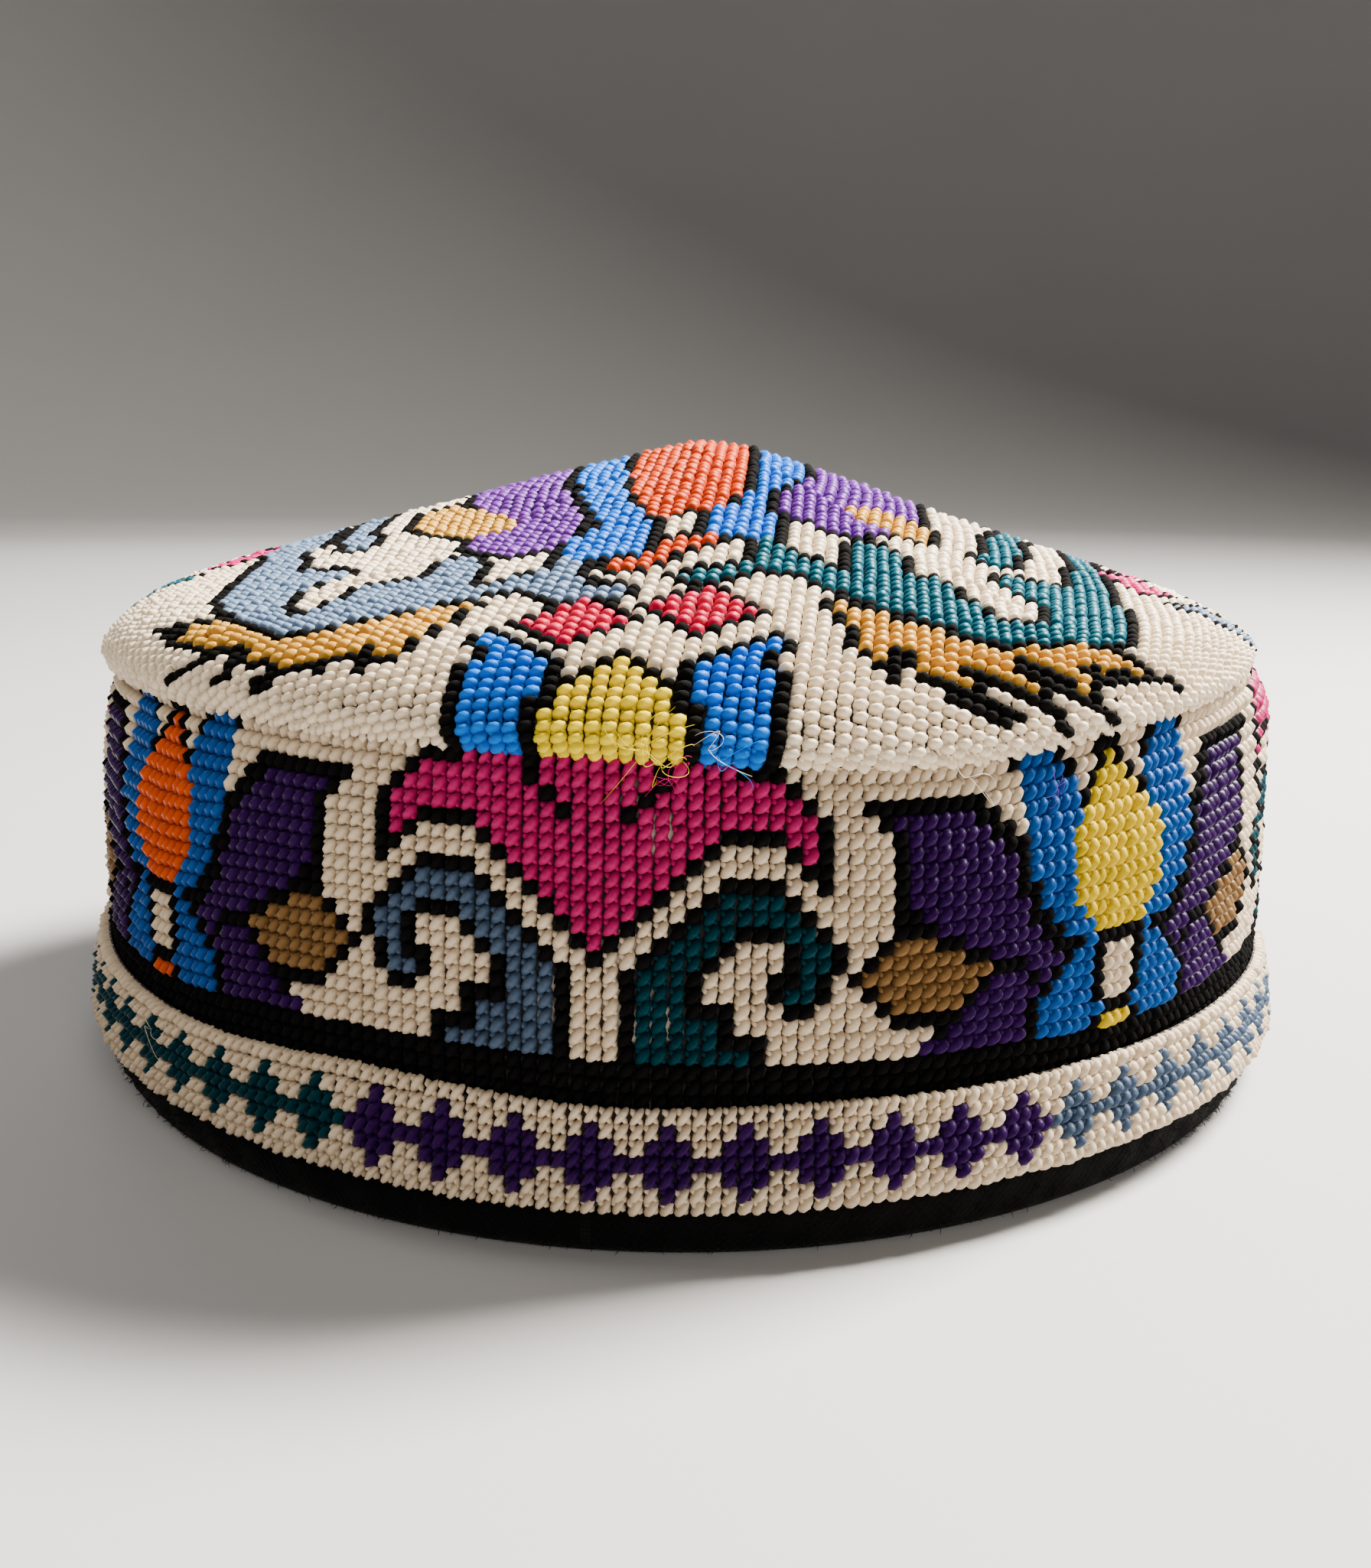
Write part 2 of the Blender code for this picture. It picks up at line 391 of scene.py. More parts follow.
@dataclass(frozen=True)
class YarnFinish:
    """The look of one dyed yarn: two plies twisted softly together.

    The shares say how far a soft cloud, the stitch's own shade, the twist and the painted light on
    the plump back of the stitch lift its colour from the deep one, painted shade between the
    stitches, to the full one.
    """

    yarn: Yarn
    colour: tuple[int, int, int]
    # how dark the painted shade deep between the stitches is, as a share of the full colour
    deep: float = 0.3
    roughness: float = 0.42
    gloss: float = 0.55
    plies: float = 2.6
    slant: float = 0.9
    fibre_scale: float = 9000.0
    cloud_scale: float = 420.0
    cloud_share: float = 0.3
    shade_share: float = 0.2
    twist_share: float = 0.1
    # weight of the painted shade at a leg's edges and ends and the painted light on its back
    groove_shade_share: float = 0.62
    twist_height: float = 0.6
    relief: float = 0.00006
    relief_strength: float = 0.55

    def shadow(self) -> tuple[float, float, float, float]:
        """Painted shade: the yarn's colour deep between the stitches, darker and fuller than on
        backs.

        Returns:
            The linear colour.
        """
        light = linear(self.colour)[:3]
        full = max(light)
        return (*(value * self.deep * (value / full) ** 0.5 for value in light), 1.0)

    def material(self, place_name: str) -> bpy.types.Material:
        """Make the yarn's material: twist, fibres, each stitch's own shade and painted groove
        shade.

        Args:
            place_name: Where on the cap the yarn is used.

        Returns:
            The new material.
        """
        sketch = Sketch(f"{place_name}_yarn_{self.yarn.name.lower()}")
        light = linear(self.colour)
        place = sketch.add("TexCoord").outputs["Object"]
        length, across = sketch.thread()
        shade = sketch.add("Attribute", attribute_name="shade").outputs["Fac"]
        slant = sketch.maths("MULTIPLY", across, self.slant)
        turn = sketch.maths("MULTIPLY", sketch.maths("ADD", length, slant), math.tau * self.plies)
        twist = sketch.maths("MULTIPLY_ADD", sketch.maths("SINE", turn), 0.5, 0.5)
        fibre = sketch.noise(place, self.fibre_scale, 4.0)
        cloud = sketch.noise(place, self.cloud_scale, 2.0)
        # back is 1 on a leg's top and 0 at its edges and ends: painted shade in the grooves,
        # painted light on top
        crest = sketch.maths("SINE", sketch.maths("MULTIPLY", across, math.pi))
        middle = sketch.maths("SINE", sketch.maths("MULTIPLY", length, math.pi))
        back = sketch.maths("MULTIPLY", crest, sketch.maths("POWER", middle, 0.5))
        own = sketch.maths("MULTIPLY", shade, self.shade_share)
        share = sketch.maths("MULTIPLY_ADD", cloud, self.cloud_share, own)
        for part, weight in ((twist, self.twist_share), (back, self.groove_shade_share)):
            share = sketch.maths("ADD", share, sketch.maths("MULTIPLY", part, weight))
        colour = sketch.blend(share, self.shadow(), light)
        sketch.feed(sketch.shader, Base_Color=colour, Roughness=self.roughness,
                    Specular_Tint=light, Specular_IOR_Level=self.gloss)
        height = sketch.maths("ADD", sketch.maths("MULTIPLY", twist, self.twist_height), fibre)
        sketch.bump(height, self.relief, self.relief_strength)
        return sketch.material


# the crown's yarns darkened as painted shade for the upright band, which gets less light; the trim
# uses them too, and the purple is also a deeper violet yarn
SHADED_BAND_YARNS = (
    YarnFinish(Yarn.CREAM, (210, 190, 162), deep=0.45),
    YarnFinish(Yarn.BLACK, (15, 14, 14), roughness=0.9, gloss=0.08),
    YarnFinish(Yarn.PINK, (168, 24, 90)),
    YarnFinish(Yarn.ROSE, (206, 6, 64)),
    YarnFinish(Yarn.BLUE, (0, 72, 142)),
    YarnFinish(Yarn.YELLOW, (206, 176, 0), gloss=0.25),
    YarnFinish(Yarn.ORANGE, (198, 72, 0)),
    YarnFinish(Yarn.PURPLE, (44, 14, 66)),
    YarnFinish(Yarn.TAN, (118, 88, 52)),
    YarnFinish(Yarn.STEEL, (69, 84, 104)),
    YarnFinish(Yarn.TEAL, (0, 48, 56)),
)

CROWN_YARNS = (
    YarnFinish(Yarn.CREAM, (236, 218, 190), deep=0.5),
    YarnFinish(Yarn.BLACK, (16, 15, 14), roughness=0.9, gloss=0.08),
    YarnFinish(Yarn.PINK, (206, 6, 108)),
    YarnFinish(Yarn.ROSE, (200, 0, 66), gloss=0.35),
    YarnFinish(Yarn.BLUE, (0, 108, 210), gloss=0.35),
    YarnFinish(Yarn.YELLOW, (240, 212, 0), gloss=0.2),
    YarnFinish(Yarn.ORANGE, (202, 64, 0), gloss=0.25),
    YarnFinish(Yarn.PURPLE, (106, 42, 146)),
    YarnFinish(Yarn.TAN, (208, 155, 54)),
    YarnFinish(Yarn.STEEL, (106, 128, 156)),
    YarnFinish(Yarn.TEAL, (0, 88, 104)),
)


@dataclass(frozen=True)
class WeaveFinish:
    """The look of a plain woven cloth: threads that pass over and under each other."""

    name: str
    colour: tuple[int, int, int]
    pitch: float = 0.5
    deep: float = 0.6
    bare: tuple[int, int, int] | None = None
    bare_edge: tuple[float, float] = (0.63, 0.68)
    bare_scale: float = 130.0
    roughness: float = 0.85
    sheen: float = 0.1
    gloss: float = 0.2
    slub_scale: float = 300.0
    fuzz_scale: float = 5000.0
    base_share: float = 0.2
    weave_share: float = 0.22
    slub_share: float = 0.6
    weave_height: float = 0.7
    relief: float = 0.00008
    relief_strength: float = 0.6

    def material(self) -> bpy.types.Material:
        """Make the cloth's material from a flat layout in millimetres.

        Returns:
            The new material.
        """
        sketch = Sketch(self.name)
        light = linear(self.colour)
        dark = tuple(value * self.deep for value in light[:3]) + (1.0,)
        lie = sketch.thread()
        place = sketch.add("TexCoord").outputs["Object"]
        beat = math.pi / self.pitch
        weft, warp = (sketch.maths("SINE", sketch.maths("MULTIPLY", way, beat)) for way in lie)
        over = sketch.maths("MULTIPLY", weft, warp)
        slub = sketch.noise(place, self.slub_scale, 4.0)
        fuzz = sketch.noise(place, self.fuzz_scale)
        base = sketch.maths("ADD", sketch.maths("MULTIPLY", slub, self.slub_share), self.base_share)
        share = sketch.maths("MULTIPLY_ADD", over, self.weave_share, base)
        colour = sketch.blend(share, dark, light)
        if self.bare:
            spots = sketch.add("MapRange", interpolation_type="SMOOTHSTEP")
            sketch.feed(spots, Value=sketch.noise(place, self.bare_scale),
                        From_Min=self.bare_edge[0], From_Max=self.bare_edge[1])
            colour = sketch.blend(spots.outputs["Result"], colour, linear(self.bare))
        sketch.feed(sketch.shader, Base_Color=colour, Roughness=self.roughness,
                    Sheen_Weight=self.sheen, Specular_IOR_Level=self.gloss)
        height = sketch.maths("ADD", sketch.maths("MULTIPLY", over, self.weave_height), fuzz)
        sketch.bump(height, self.relief, self.relief_strength)
        return sketch.material


# the canvas is coloured near black as painted shade in the gaps between stitches; the band's keeps
# specks of the cotton's own pale colour
PAINTED_SHADE_CANVAS = WeaveFinish("painted_shade_canvas", (36, 32, 30), pitch=0.62)
SPECKED_SHADE_CANVAS = WeaveFinish("specked_painted_shade_canvas", (36, 32, 30), pitch=0.62, bare=(170, 160, 146))
LINING = WeaveFinish("cotton_lining", (214, 203, 182), pitch=0.45)
BLACK_CLOTH = WeaveFinish("black_cotton", (10, 9, 9), pitch=0.55, roughness=1.0, sheen=0.03,
                          gloss=0.05)


def link(name: str, data: bpy.types.ID) -> Piece:
    """Put a mesh, light or camera in the scene.

    Args:
        name: What it is called there.
        data: The mesh, light or camera.

    Returns:
        The new object.
    """
    piece = bpy.data.objects.new(name, data)
    bpy.context.scene.collection.objects.link(piece)
    return piece


def mesh_piece(name: str, points: Array, corners: Array, counts: Array) -> Piece:
    """A smooth mesh from arrays.

    Args:
        name: What the piece is called.
        points: Places of the vertices, in millimetres.
        corners: The vertex numbers of all faces, one face after another.
        counts: How many corners each face has.

    Returns:
        The new piece.
    """
    mesh = bpy.data.meshes.new(name)
    mesh.vertices.add(len(points))
    mesh.vertices.foreach_set("co", (points * MM).ravel().astype(np.float32))
    mesh.loops.add(len(corners))
    mesh.loops.foreach_set("vertex_index", corners.astype(np.int32))
    mesh.polygons.add(len(counts))
    starts = np.concatenate([[0], np.cumsum(counts)[:-1]])
    mesh.polygons.foreach_set("loop_start", starts.astype(np.int32))
    mesh.update(calc_edges=True)
    mesh.validate()
    mesh.shade_smooth()
    return link(name, mesh)


def set_layout(piece: Piece, layout: Array) -> None:
    """Give a mesh its thread layout.

    Args:
        piece: The piece whose mesh is laid out.
        layout: One pair of numbers for each vertex.
    """
    mesh = piece.data
    uv = mesh.uv_layers.new(name="Thread")
    vertex = np.empty(len(mesh.loops), dtype=np.int32)
    mesh.loops.foreach_get("vertex_index", vertex)
    uv.uv.foreach_set("vector", layout[vertex].ravel().astype(np.float32))


def set_shades(piece: Piece, shades: Array) -> None:
    """Store the shade of the yarn at each vertex of a mesh."""
    layer = piece.data.attributes.new("shade", "FLOAT", "POINT")
    layer.data.foreach_set("value", shades.astype(np.float32))


def set_slots(piece: Piece, slots: Array) -> None:
    """Set the material slot of each face of a mesh."""
    piece.data.polygons.foreach_set("material_index", slots.astype(np.int32))


def dress(piece: Piece, *materials: bpy.types.Material) -> Piece:
    """Give a piece its materials, in the order of their slots.

    Args:
        piece: The piece to dress.
        *materials: Its materials.

    Returns:
        The same piece.
    """
    for material in materials:
        piece.data.materials.append(material)
    return piece


@dataclass(frozen=True)
class CrossStitch:
    """One cross stitch: a plump leg from lower left to upper right, over a leg the other way.

    Each leg is a line of points: sideways and upward place in cells of the canvas, share of the
    leg's rise, and share of its half width. Its ends dive into the holes of the canvas.
    """

    width: float = 0.52
    rise: float = 1.65
    under_width: float = 0.2
    under_rise: float = 1.0
    top_leg: Points = (
        (-0.50, -0.43, 0.1, 0.0), (-0.35, -0.26, 0.66, 0.68), (-0.08, -0.05, 0.98, 1.0),
        (0.17, 0.10, 1.0, 1.0), (0.40, 0.25, 0.74, 0.76), (0.51, 0.36, 0.1, 0.0),
    )
    left_ear: Points = (
        (-0.42, 0.54, 0.15, 0.0), (-0.32, 0.36, 1.0, 1.0), (-0.12, 0.12, 0.8, 1.0),
    )
    right_ear: Points = (
        (0.42, -0.52, 0.15, 0.0), (0.32, -0.36, 0.8, 0.8), (0.12, -0.12, 0.8, 1.0),
    )
    leg_steps: float = 5.0
    top_facets: int = 4
    ear_facets: int = 3

    def leg(self, line: Points, width: float, rise: float, facets: int,
            upright: bool = False) -> tuple[Array, list[list[int]], Array]:
        """A half tube along a line of points, closed to a tip where its width is 0.

        Args:
            line: The leg's points.
            width: Half width of its thickest part, in cells.
            rise: Height of its back, in millimetres.
            facets: How many faces go over the back.
            upright: Whether its width is measured up the column, as where stitches crowd.

        Returns:
            Its vertices, faces and layout.
        """
        rows = np.asarray(line)
        axis = rows[-1, :2] - rows[0, :2]
        side = np.array([axis[1], -axis[0]]) / np.hypot(*axis)
        if axis[1] < 0.0:
            side = -side
        if upright:
            side = np.array([0.0, -1.0])
        points, layout, rings = [], [], []
        for index, (x, y, high, wide) in enumerate(rows):
            turns = [0.5] if wide == 0.0 else np.arange(facets + 1) / facets
            ring = []
            for turn in turns:
                across = wide * width * math.cos(math.pi * turn)
                ring.append(len(points))
                up = high * rise * (math.sin(math.pi * turn) if wide else 1.0)
                points.append((x + side[0] * across, y + side[1] * across, up))
                layout.append((index / self.leg_steps, turn))
            rings.append(ring)
        if axis[1] < 0.0:
            rings = rings[::-1]
        faces = []
        for first, second in zip(rings, rings[1:]):
            for step in range(facets):
                near = [ring[min(step, len(ring) - 1)] for ring in (first, second)]
                far = [ring[min(step + 1, len(ring) - 1)] for ring in (second, first)]
                faces.append(list(dict.fromkeys(near + far)))
        return np.array(points), faces, np.array(layout)

    def template(self) -> tuple[Array, list[list[int]], Array]:
        """One whole stitch.

        Returns:
            Its vertices, faces and layout.
        """
        legs = [self.leg(self.top_leg, self.width, self.rise, self.top_facets, upright=True)]
        for ear in (self.left_ear, self.right_ear):
            legs.append(self.leg(ear, self.under_width, self.under_rise, self.ear_facets))
        points, faces, layout, start = [], [], [], 0
        for part, shapes, flat in legs:
            points.append(part)
            layout.append(flat)
            faces += [[corner + start for corner in face] for face in shapes]
            start += len(part)
        return np.vstack(points), faces, np.vstack(layout)


CROWN_STITCH = CrossStitch(
    width=0.43,
    rise=1.2,
    under_rise=0.4,
    top_leg=(
        (-0.52, -0.13, 0.1, 0.0), (-0.42, -0.10, 0.68, 0.72), (-0.14, -0.03, 1.0, 1.0),
        (0.14, 0.03, 1.0, 1.0), (0.42, 0.10, 0.68, 0.72), (0.52, 0.13, 0.1, 0.0),
    ),
)

TRIM_STITCH = CrossStitch(
    width=0.45,
    rise=1.6,
    under_width=0.22,
    under_rise=0.95,
    top_leg=(
        (-0.50, -0.45, 0.1, 0.0), (-0.36, -0.30, 0.66, 0.62), (-0.10, -0.07, 1.0, 1.0),
        (0.15, 0.11, 1.0, 1.0), (0.38, 0.30, 0.72, 0.66), (0.50, 0.43, 0.1, 0.0),
    ),
)


@dataclass
class StitchField:
    """Many cross stitches laid on one surface, each in its own cell and yarn.

    The spreads say how much the stitches differ in plumpness, height and slant, and how loosely
    they sit. A leg's ends keep still from the calm reach outwards, in cells.
    """

    name: str
    surface: Surface
    depth: float
    stitch: CrossStitch
    slack: float = 0.045
    full_yarn: Yarn | None = None
    fullness: float = 1.13
    plump_spread: float = 0.07
    tall_spread: float = 0.09
    lean_spread: float = 0.06
    calm_reach: float = 0.85

    def frames(self, columns: Array, rows: Array) -> tuple[Array, Array, Array, Array]:
        """How each cell lies on the cap.

        Args:
            columns: Column of each cell.
            rows: Row of each cell.

        Returns:
            Its middle, sideways step, upward step and outward direction.
        """
        middle = self.surface(columns, rows)
        sideways = self.surface(columns + 0.5, rows) - self.surface(columns - 0.5, rows)
        upward = self.surface(columns, rows + 0.5) - self.surface(columns, rows - 0.5)
        outward = np.cross(sideways, upward)
        outward /= np.linalg.norm(outward, axis=1, keepdims=True)
        return middle, sideways, upward, outward

    def lay(self, columns: Array, rows: Array, yarns: Array, seed: int) -> Piece:
        """Lay a stitch in each cell and join them all as one piece.

        Args:
            columns: Column of each stitch.
            rows: Row of each stitch.
            yarns: Yarn number of each stitch.
            seed: Start of the small differences between the stitches.

        Returns:
            The new piece, whose faces have their yarns' slots.
        """
        draw = np.random.default_rng(seed)
        count = len(columns)
        points, faces, layout = self.stitch.template()
        plump = 1.0 + draw.normal(0.0, self.plump_spread, (count, 1))
        tall = 1.0 + draw.normal(0.0, self.tall_spread, (count, 1))
        if self.full_yarn:
            fuller = np.where(yarns == self.full_yarn.value, self.fullness, 1.0)[:, None]
            plump, tall = plump * fuller, tall * fuller
        shift = draw.normal(0.0, self.slack, (count, 2, 1))
        lean = draw.normal(0.0, self.lean_spread, (count, 1))
        x, y, z = points.T[:, None]
        inner = 1.0 - np.clip((np.hypot(x, y) / self.calm_reach) ** 2, 0.0, 1.0)
        grown = 1.0 + (plump - 1.0) * inner
        across = x * grown - lean * y * inner + shift[:, 0] * inner
        up = y * grown + lean * x * inner + shift[:, 1] * inner
        middle, *steps = self.frames(columns.astype(float), rows.astype(float))
        placed = middle[:, None]
        for way, step in zip((across, up, z * tall - self.depth), steps):
            placed = placed + way[..., None] * step[:, None]
        counts = np.tile([len(face) for face in faces], count)
        corners = np.array([corner for face in faces for corner in face])
        corners = corners[None] + (np.arange(count) * len(points))[:, None]
        piece = mesh_piece(self.name, placed.reshape(-1, 3), corners.ravel(), counts)
        set_layout(piece, np.tile(layout, (count, 1)))
        set_shades(piece, np.repeat(draw.random(count), len(points)))
        set_slots(piece, np.repeat(yarns, len(faces)))
        return piece


def spans(text: str) -> list[int]:
    """Column numbers written as runs, such as 0-4,7 for 0 to 4 and 7.

    Args:
        text: The runs, with commas between them.

    Returns:
        Every column in them.
    """
    found = []
    for run in text.split(","):
        first, _, last = run.partition("-")
        found += range(int(first), int(last or first) + 1)
    return found


@dataclass(frozen=True)
class Motif:
    """One coloured shape of a chart: the runs of stitches in its rows, from its first row on."""

    yarn: Yarn
    first_row: int
    runs: str

    def rows(self) -> Iterator[tuple[int, list[int]]]:
        """Each of its rows, with the columns that it covers there."""
        return enumerate(map(spans, self.runs.split()), self.first_row)


BAND_MOTIFS = (
    Motif(Yarn.PINK, 7, "0 0-1 0-2 0-3 0-4 0-5 0-6,13 0-7,12-13 0-1,3-13 0-2,4-12 0-3,5-11 "
          "0-3,5-8"),
    Motif(Yarn.CREAM, 0, "0-1 0-1 0-1 0-1 0-1 0-1 1-2 2-3 3-4 4-5,14 5-6,13-14 6-7,12-13 7-12 "
          "8-11"),
    Motif(Yarn.TEAL, 0, "3-9 3-7 3-7 3-5 3-5,12-13 3-5,13 4-6,13-14 5-7,13-14 6-8,12-13 7-12 8-11"),
    Motif(Yarn.CREAM, 0, "11-20 11-21 9-18 9-11,14-17 7-10,15-16 7-10,15 8-11 9-11"),
    Motif(Yarn.CREAM, 6, "16 16-17 15-18 15-18 15-18 15-18 15-18 15-18 15-18,28 15-17,27-28 "
          "14-16,26-28 13-28 12-27"),
    Motif(Yarn.PURPLE, 0, "21-28 23-28 24-28 25-29 26-28,30 29-31 26-30 24-29 22-28 21-28 20-27 "
          "20-27 20-27 20-26 20-25 19-24"),
    Motif(Yarn.TAN, 3, "19-23 18-24 17-25 18-23 19-21"),
    Motif(Yarn.BLUE, 0, "30-34 30-35 30-34 31-34 32-34 33-34 34 32-34 31-33 30-32 30-32 29-32 "
          "29-32 29-32 29-33 29-33 29-33 29-32 29-31"),
    Motif(Yarn.YELLOW, 0, "36-37"),
    Motif(Yarn.YELLOW, 7, "35-37 34-37 33-37 33-37 33-37 33-37 33-37 34-37 35-37 36-37 37"),
    Motif(Yarn.CREAM, 2, "36-37 36-37 36-37 36-37"),
    Motif(Yarn.CREAM, 16, "34 34-35 33-35"),
)


# how the lining puckers: its waves, how far in it lies on the whole, how far it sinks with that,
# and how soon the puckers start from its sewn ends
LINING_PUCKERS = (Ripple(0.24, 19.0, 0.11), Ripple(0.16, 47.0, -0.23))
LINING_REST = 0.3
PUCKER_SINK = 0.6
PUCKER_RISE = 4.0


def turned_cloth(name: str, outer: Array, lining: Array, place: Surface3, steps: int) -> Piece:
    """A closed cloth wall, made by turning its section round the axis.

    Args:
        name: What the piece is called.
        outer: Radius and height of the points of its outer side.
        lining: The points of its inner side, which lies in soft puckers between its ends.
        place: What turns a section point to its place.
        steps: How many steps go round.

    Returns:
        The new piece, laid out in millimetres round and along.
    """
    section = np.vstack([outer, lining])
    count = len(section)
    angle = np.tile(np.arange(steps) * (math.tau / steps), (count, 1))
    run = along(np.vstack([section, section[:1]]))[:-1, None]
    ends = np.zeros((count, 1))
    ends[len(outer):, 0] = np.sin(np.linspace(0.0, math.pi, max(len(lining), 1)))[:len(lining)]
    pucker = LINING_REST
    for ripple in LINING_PUCKERS:
        pucker = pucker + ripple.at(angle, run)
    pucker *= np.minimum(ends * PUCKER_RISE, 1.0)
    radius = np.maximum(section[:, :1] - pucker, LEAST_RADIUS)
    points = place(radius, section[:, 1:] - PUCKER_SINK * pucker, angle).reshape(-1, 3)
    ring = np.arange(steps)
    after = (ring + 1) % steps
    quads = []
    for index in range(count):
        here, there = index * steps, (index + 1) % count * steps
        quads.append(np.stack([here + ring, here + after, there + after, there + ring], axis=1))
    corners = np.vstack(quads)
    piece = mesh_piece(name, points, corners.ravel(), np.full(len(corners), 4))
    layout = np.stack([angle * LAYOUT_RADIUS, np.repeat(run, steps, axis=1)], axis=-1)
    set_layout(piece, layout.reshape(-1, 2))
    inside = (np.arange(count) >= len(outer)) & (np.arange(count) < count - 1)
    set_slots(piece, np.repeat(inside, steps))
    return piece


@dataclass
class SideBand:
    """The upright band: eight mirrored half repeats of cross stitch over canvas."""

    form: CapForm
    half_repeat: int = 37
    first_height: float = 24.2
    pitch: float = 1.88
    lowest_row: int = -3
    highest_row: int = 18
    lining: Points = (
        (83.3, 58.6), (84.2, 53.5), (85.2, 48.0), (85.8, 40.0), (85.8, 11.0), (85.8, 1.9),
    )
    canvas_depth: float = 1.3
    seam_fill: float = 0.35
    front_fill: Wave = Wave(0.0, 15.0, 0.75)
    filled: tuple[float, float] = (52.0, 58.6)
    foot_gap: float = 0.3
    cloth_steps: int = 216
    still_rows: tuple[float, float] = (6.0, 19.0)
    sag: Points = (
        (-90.0, 0.0), (-62.0, -1.0), (-45.0, -1.5), (-38.0, -0.7), (-30.0, 0.5), (-20.0, 1.1),
        (-8.0, 0.8), (0.0, 0.2), (18.0, -0.2), (33.0, -0.4), (39.0, -1.1), (45.0, -1.7),
        (60.0, -1.2), (80.0, 0.0), (130.0, -1.0), (160.0, 0.6), (215.0, -0.8), (270.0, 0.0),
    )

    @property
    def columns(self) -> int:
        """Stitches in one round."""
        return 8 * self.half_repeat

    def fill(self, height: Array, turn: Array) -> Array:
        """How far the band's top edge is filled out to meet the crown's rim."""
        fill = self.seam_fill + lift_at((self.front_fill,), np.degrees(turn))
        return fill * ramp(height, *self.filled)

    def surface(self, column: Array, row: Array) -> Array:
        """Place on the band's outer face of a column and row of its canvas.

        Args:
            column: Column from the front.
            row: Row from the lowest pattern row.

        Returns:
            One place for each stitch, in millimetres.
        """
        turn = column * (math.tau / self.columns)
        knots = np.asarray(self.sag)
        sag = np.interp(np.degrees(turn) % 360.0, knots[:, 0] % 360.0, knots[:, 1], period=360.0)
        height = self.first_height + row * self.pitch + sag * (1.0 - ramp(row, *self.still_rows))
        radius = radius_at(np.asarray(self.form.band_section), height)
        return self.form.wall(radius + self.fill(height, turn), height, turn)

    def chart(self) -> dict[tuple[int, int], Yarn]:
        """The yarn of each column and row of one half repeat."""
        return {(column, row): motif.yarn
                for motif in BAND_MOTIFS for row, columns in motif.rows() for column in columns}

    def yarn_at(self, table: dict[tuple[int, int], Yarn], column: int, row: int) -> Yarn:
        """The yarn of a stitch anywhere round the band.

        Args:
            table: The chart of one half repeat.
            column: Column from the front, 0 to the end of the round.
            row: Row from the lowest pattern row.

        Returns:
            Its yarn, with the scrolls and almonds in the colours of their own side.
        """
        half, inside = divmod(column, self.half_repeat)
        if half % 2:
            inside = self.half_repeat - inside
        yarn = table.get((inside, row), Yarn.BLACK)
        if half // 2 % 2:
            return {Yarn.TEAL: Yarn.STEEL, Yarn.YELLOW: Yarn.ORANGE}.get(yarn, yarn)
        return yarn

    def build(self, materials: Sequence[bpy.types.Material]) -> list[Piece]:
        """Make the band's cloth and its four quarters of stitches.

        Args:
            materials: The yarns' materials.

        Returns:
            The band's pieces.
        """
        table = self.chart()
        rows = np.arange(self.lowest_row, self.highest_row + 1)
        pieces = [self.cloth()]
        quarter = self.columns // 4
        for index, side in enumerate(SIDES):
            columns = (np.arange(quarter) + index * quarter - quarter // 2) % self.columns
            cells = [part.ravel() for part in np.meshgrid(columns, rows)]
            yarns = [self.yarn_at(table, int(c), int(r)).value for c, r in zip(*cells)]
            field = StitchField(f"band_stitches_{side}", self.surface, self.canvas_depth,
                                CrossStitch())
            pieces.append(dress(field.lay(*cells, np.array(yarns), SEED + index), *materials))
        return pieces

    def cloth(self) -> Piece:
        """The canvas and lining, sewn as one wall.

        Returns:
            The dressed piece, in place of the band's solid.
        """
        outer = np.array(self.form.band_section)
        outer[2:, 0] -= self.canvas_depth
        outer = np.vstack([outer[:2] - (self.foot_gap, 0.0), smooth_line(outer[2:], 2)])
        lining = smooth_line(self.lining, 3)
        piece = turned_cloth("side_band_cloth", outer, lining, self.form.wall, self.cloth_steps)
        dress(piece, SPECKED_SHADE_CANVAS.material(), LINING.material())
        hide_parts("side_band")
        return piece


